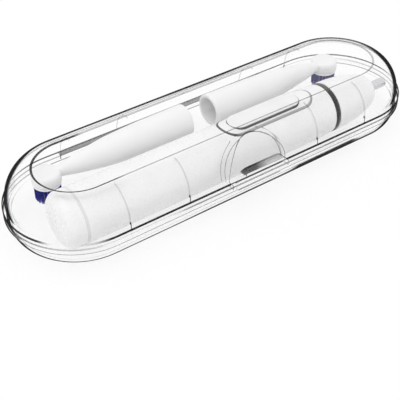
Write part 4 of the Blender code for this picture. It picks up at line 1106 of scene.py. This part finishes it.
lip_side = LIP_OUTER - LIP_SPARE
limit = base_side(WALL / 2) + [(lip_side, FLANGE_BOTTOM + LIP_FOOT), (lip_side, SEAM)]
clear_half = INNER - WALL_SPARE - 2 * GAP
limit += [(clear_half, SEAM + GAP), (clear_half, HEAD_Z)]
supports = boolean(supports, sweep("limit", limit), "INTERSECT")
seat = [(0, SHOULDER_END + GAP)] + [(r + GAP, x) for r, x in shoulder] + [
    (HANDLE_RADIUS + GAP, TAPER_START), (HANDLE_RADIUS + GAP, HANDLE_BOTTOM), (0, HANDLE_BOTTOM)]
supports = boolean(supports, turned("seat", seat, HANDLE_Y, HANDLE_Z), "DIFFERENCE")
for number, socket, side in HEADS:
    seat = [(r + GAP, socket + side * d) for r, d in sleeve_line(SEAT_STEPS)]
    seat = [(0, socket)] + seat + [(0, seat[-1][1])]
    supports = boolean(supports, turned("seat", seat, HEAD_Y, HEAD_Z, HEAD_SIDES), "DIFFERENCE")

top = SEAM - GAP / 2
outside = base_side(0) + [(FLANGE, FLANGE_BOTTOM), (FLANGE, top), (LIP_OUTER, top), (LIP_OUTER, LIP_TOP)]
outside += [(LIP_INNER, LIP_TOP), (LIP_INNER, FLANGE_BOTTOM + LIP_FOOT)] + base_side(WALL)[::-1]
base = sweep("base", rounded(outside, BASE_ROUND, 2))
base = boolean(base, supports, "UNION")
leaf = boxes(((-HINGE_HALF, FLANGE - LEAF_START, top - WALL), (HINGE_HALF, leaf_back, top)))
base = boolean(base, leaf, "UNION")
bar = boxes(((-BAR_HALF, -FLANGE - BAR_FRONT, FLANGE_BOTTOM), (BAR_HALF, -FLANGE + BAR_BACK, BAR_TOP)))
base = boolean(base, bar, "UNION")
show("base_fine", base, base_clear, "base", ["base_shell"])

# Clasp tab

TAB_LIP = 0.0014
HOOK_HALF = 0.0078
HOOK_ROOT = 0.00075
HOOK_REACH = 0.0009
HOOK_RISE = 0.0033
TAB_ROUND = 0.00022
CUT_FRONT = -0.05
CUT_BACK = -0.02

tab_bottom = CLASP_Z + BEAD + GAP
tab_edge = HINGE_Y + BEAD
outline = [(-TAB_BACK, tab_bottom), (-TAB_BACK, TAB_TOP), (-tab_edge, TAB_TOP),
           (-tab_edge, TAB_TOP - TAB_LIP), (-TAB_FRONT, TAB_TOP - 2 * TAB_LIP), (-TAB_FRONT, tab_bottom)]
tab = loft("tab", [[(x, y, z) for y, z in outline] for x in (-TAB_HALF, TAB_HALF)])
hook = boxes(((-HOOK_HALF, -TAB_BACK - HOOK_ROOT, FLANGE_TOP + GAP),
              (HOOK_HALF, -FLANGE + HOOK_REACH, FLANGE_TOP + HOOK_RISE)))
tab = boolean(tab, hook, "UNION")
turn = TAB_TOP - TAB_CORNER
outline = [(-TAB_HALF - FAR, tab_bottom - FAR), (TAB_HALF + FAR, tab_bottom - FAR), (TAB_HALF + FAR, turn)]
outline += arc((TAB_HALF - TAB_CORNER, turn), TAB_CORNER, TAB_CORNER, 0, 90, 14)
outline += arc((TAB_CORNER - TAB_HALF, turn), TAB_CORNER, TAB_CORNER, 90, 180, 14)
outline.append((-TAB_HALF - FAR, turn))
front = loft("front", [[(x, y, z) for x, z in outline] for y in (CUT_FRONT, CUT_BACK)])
tab = boolean(tab, front, "INTERSECT")
show("tab_fine", bevelled(tab, TAB_ROUND), tab_clear, "clasp", ["clasp_tab"])

low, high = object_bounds()
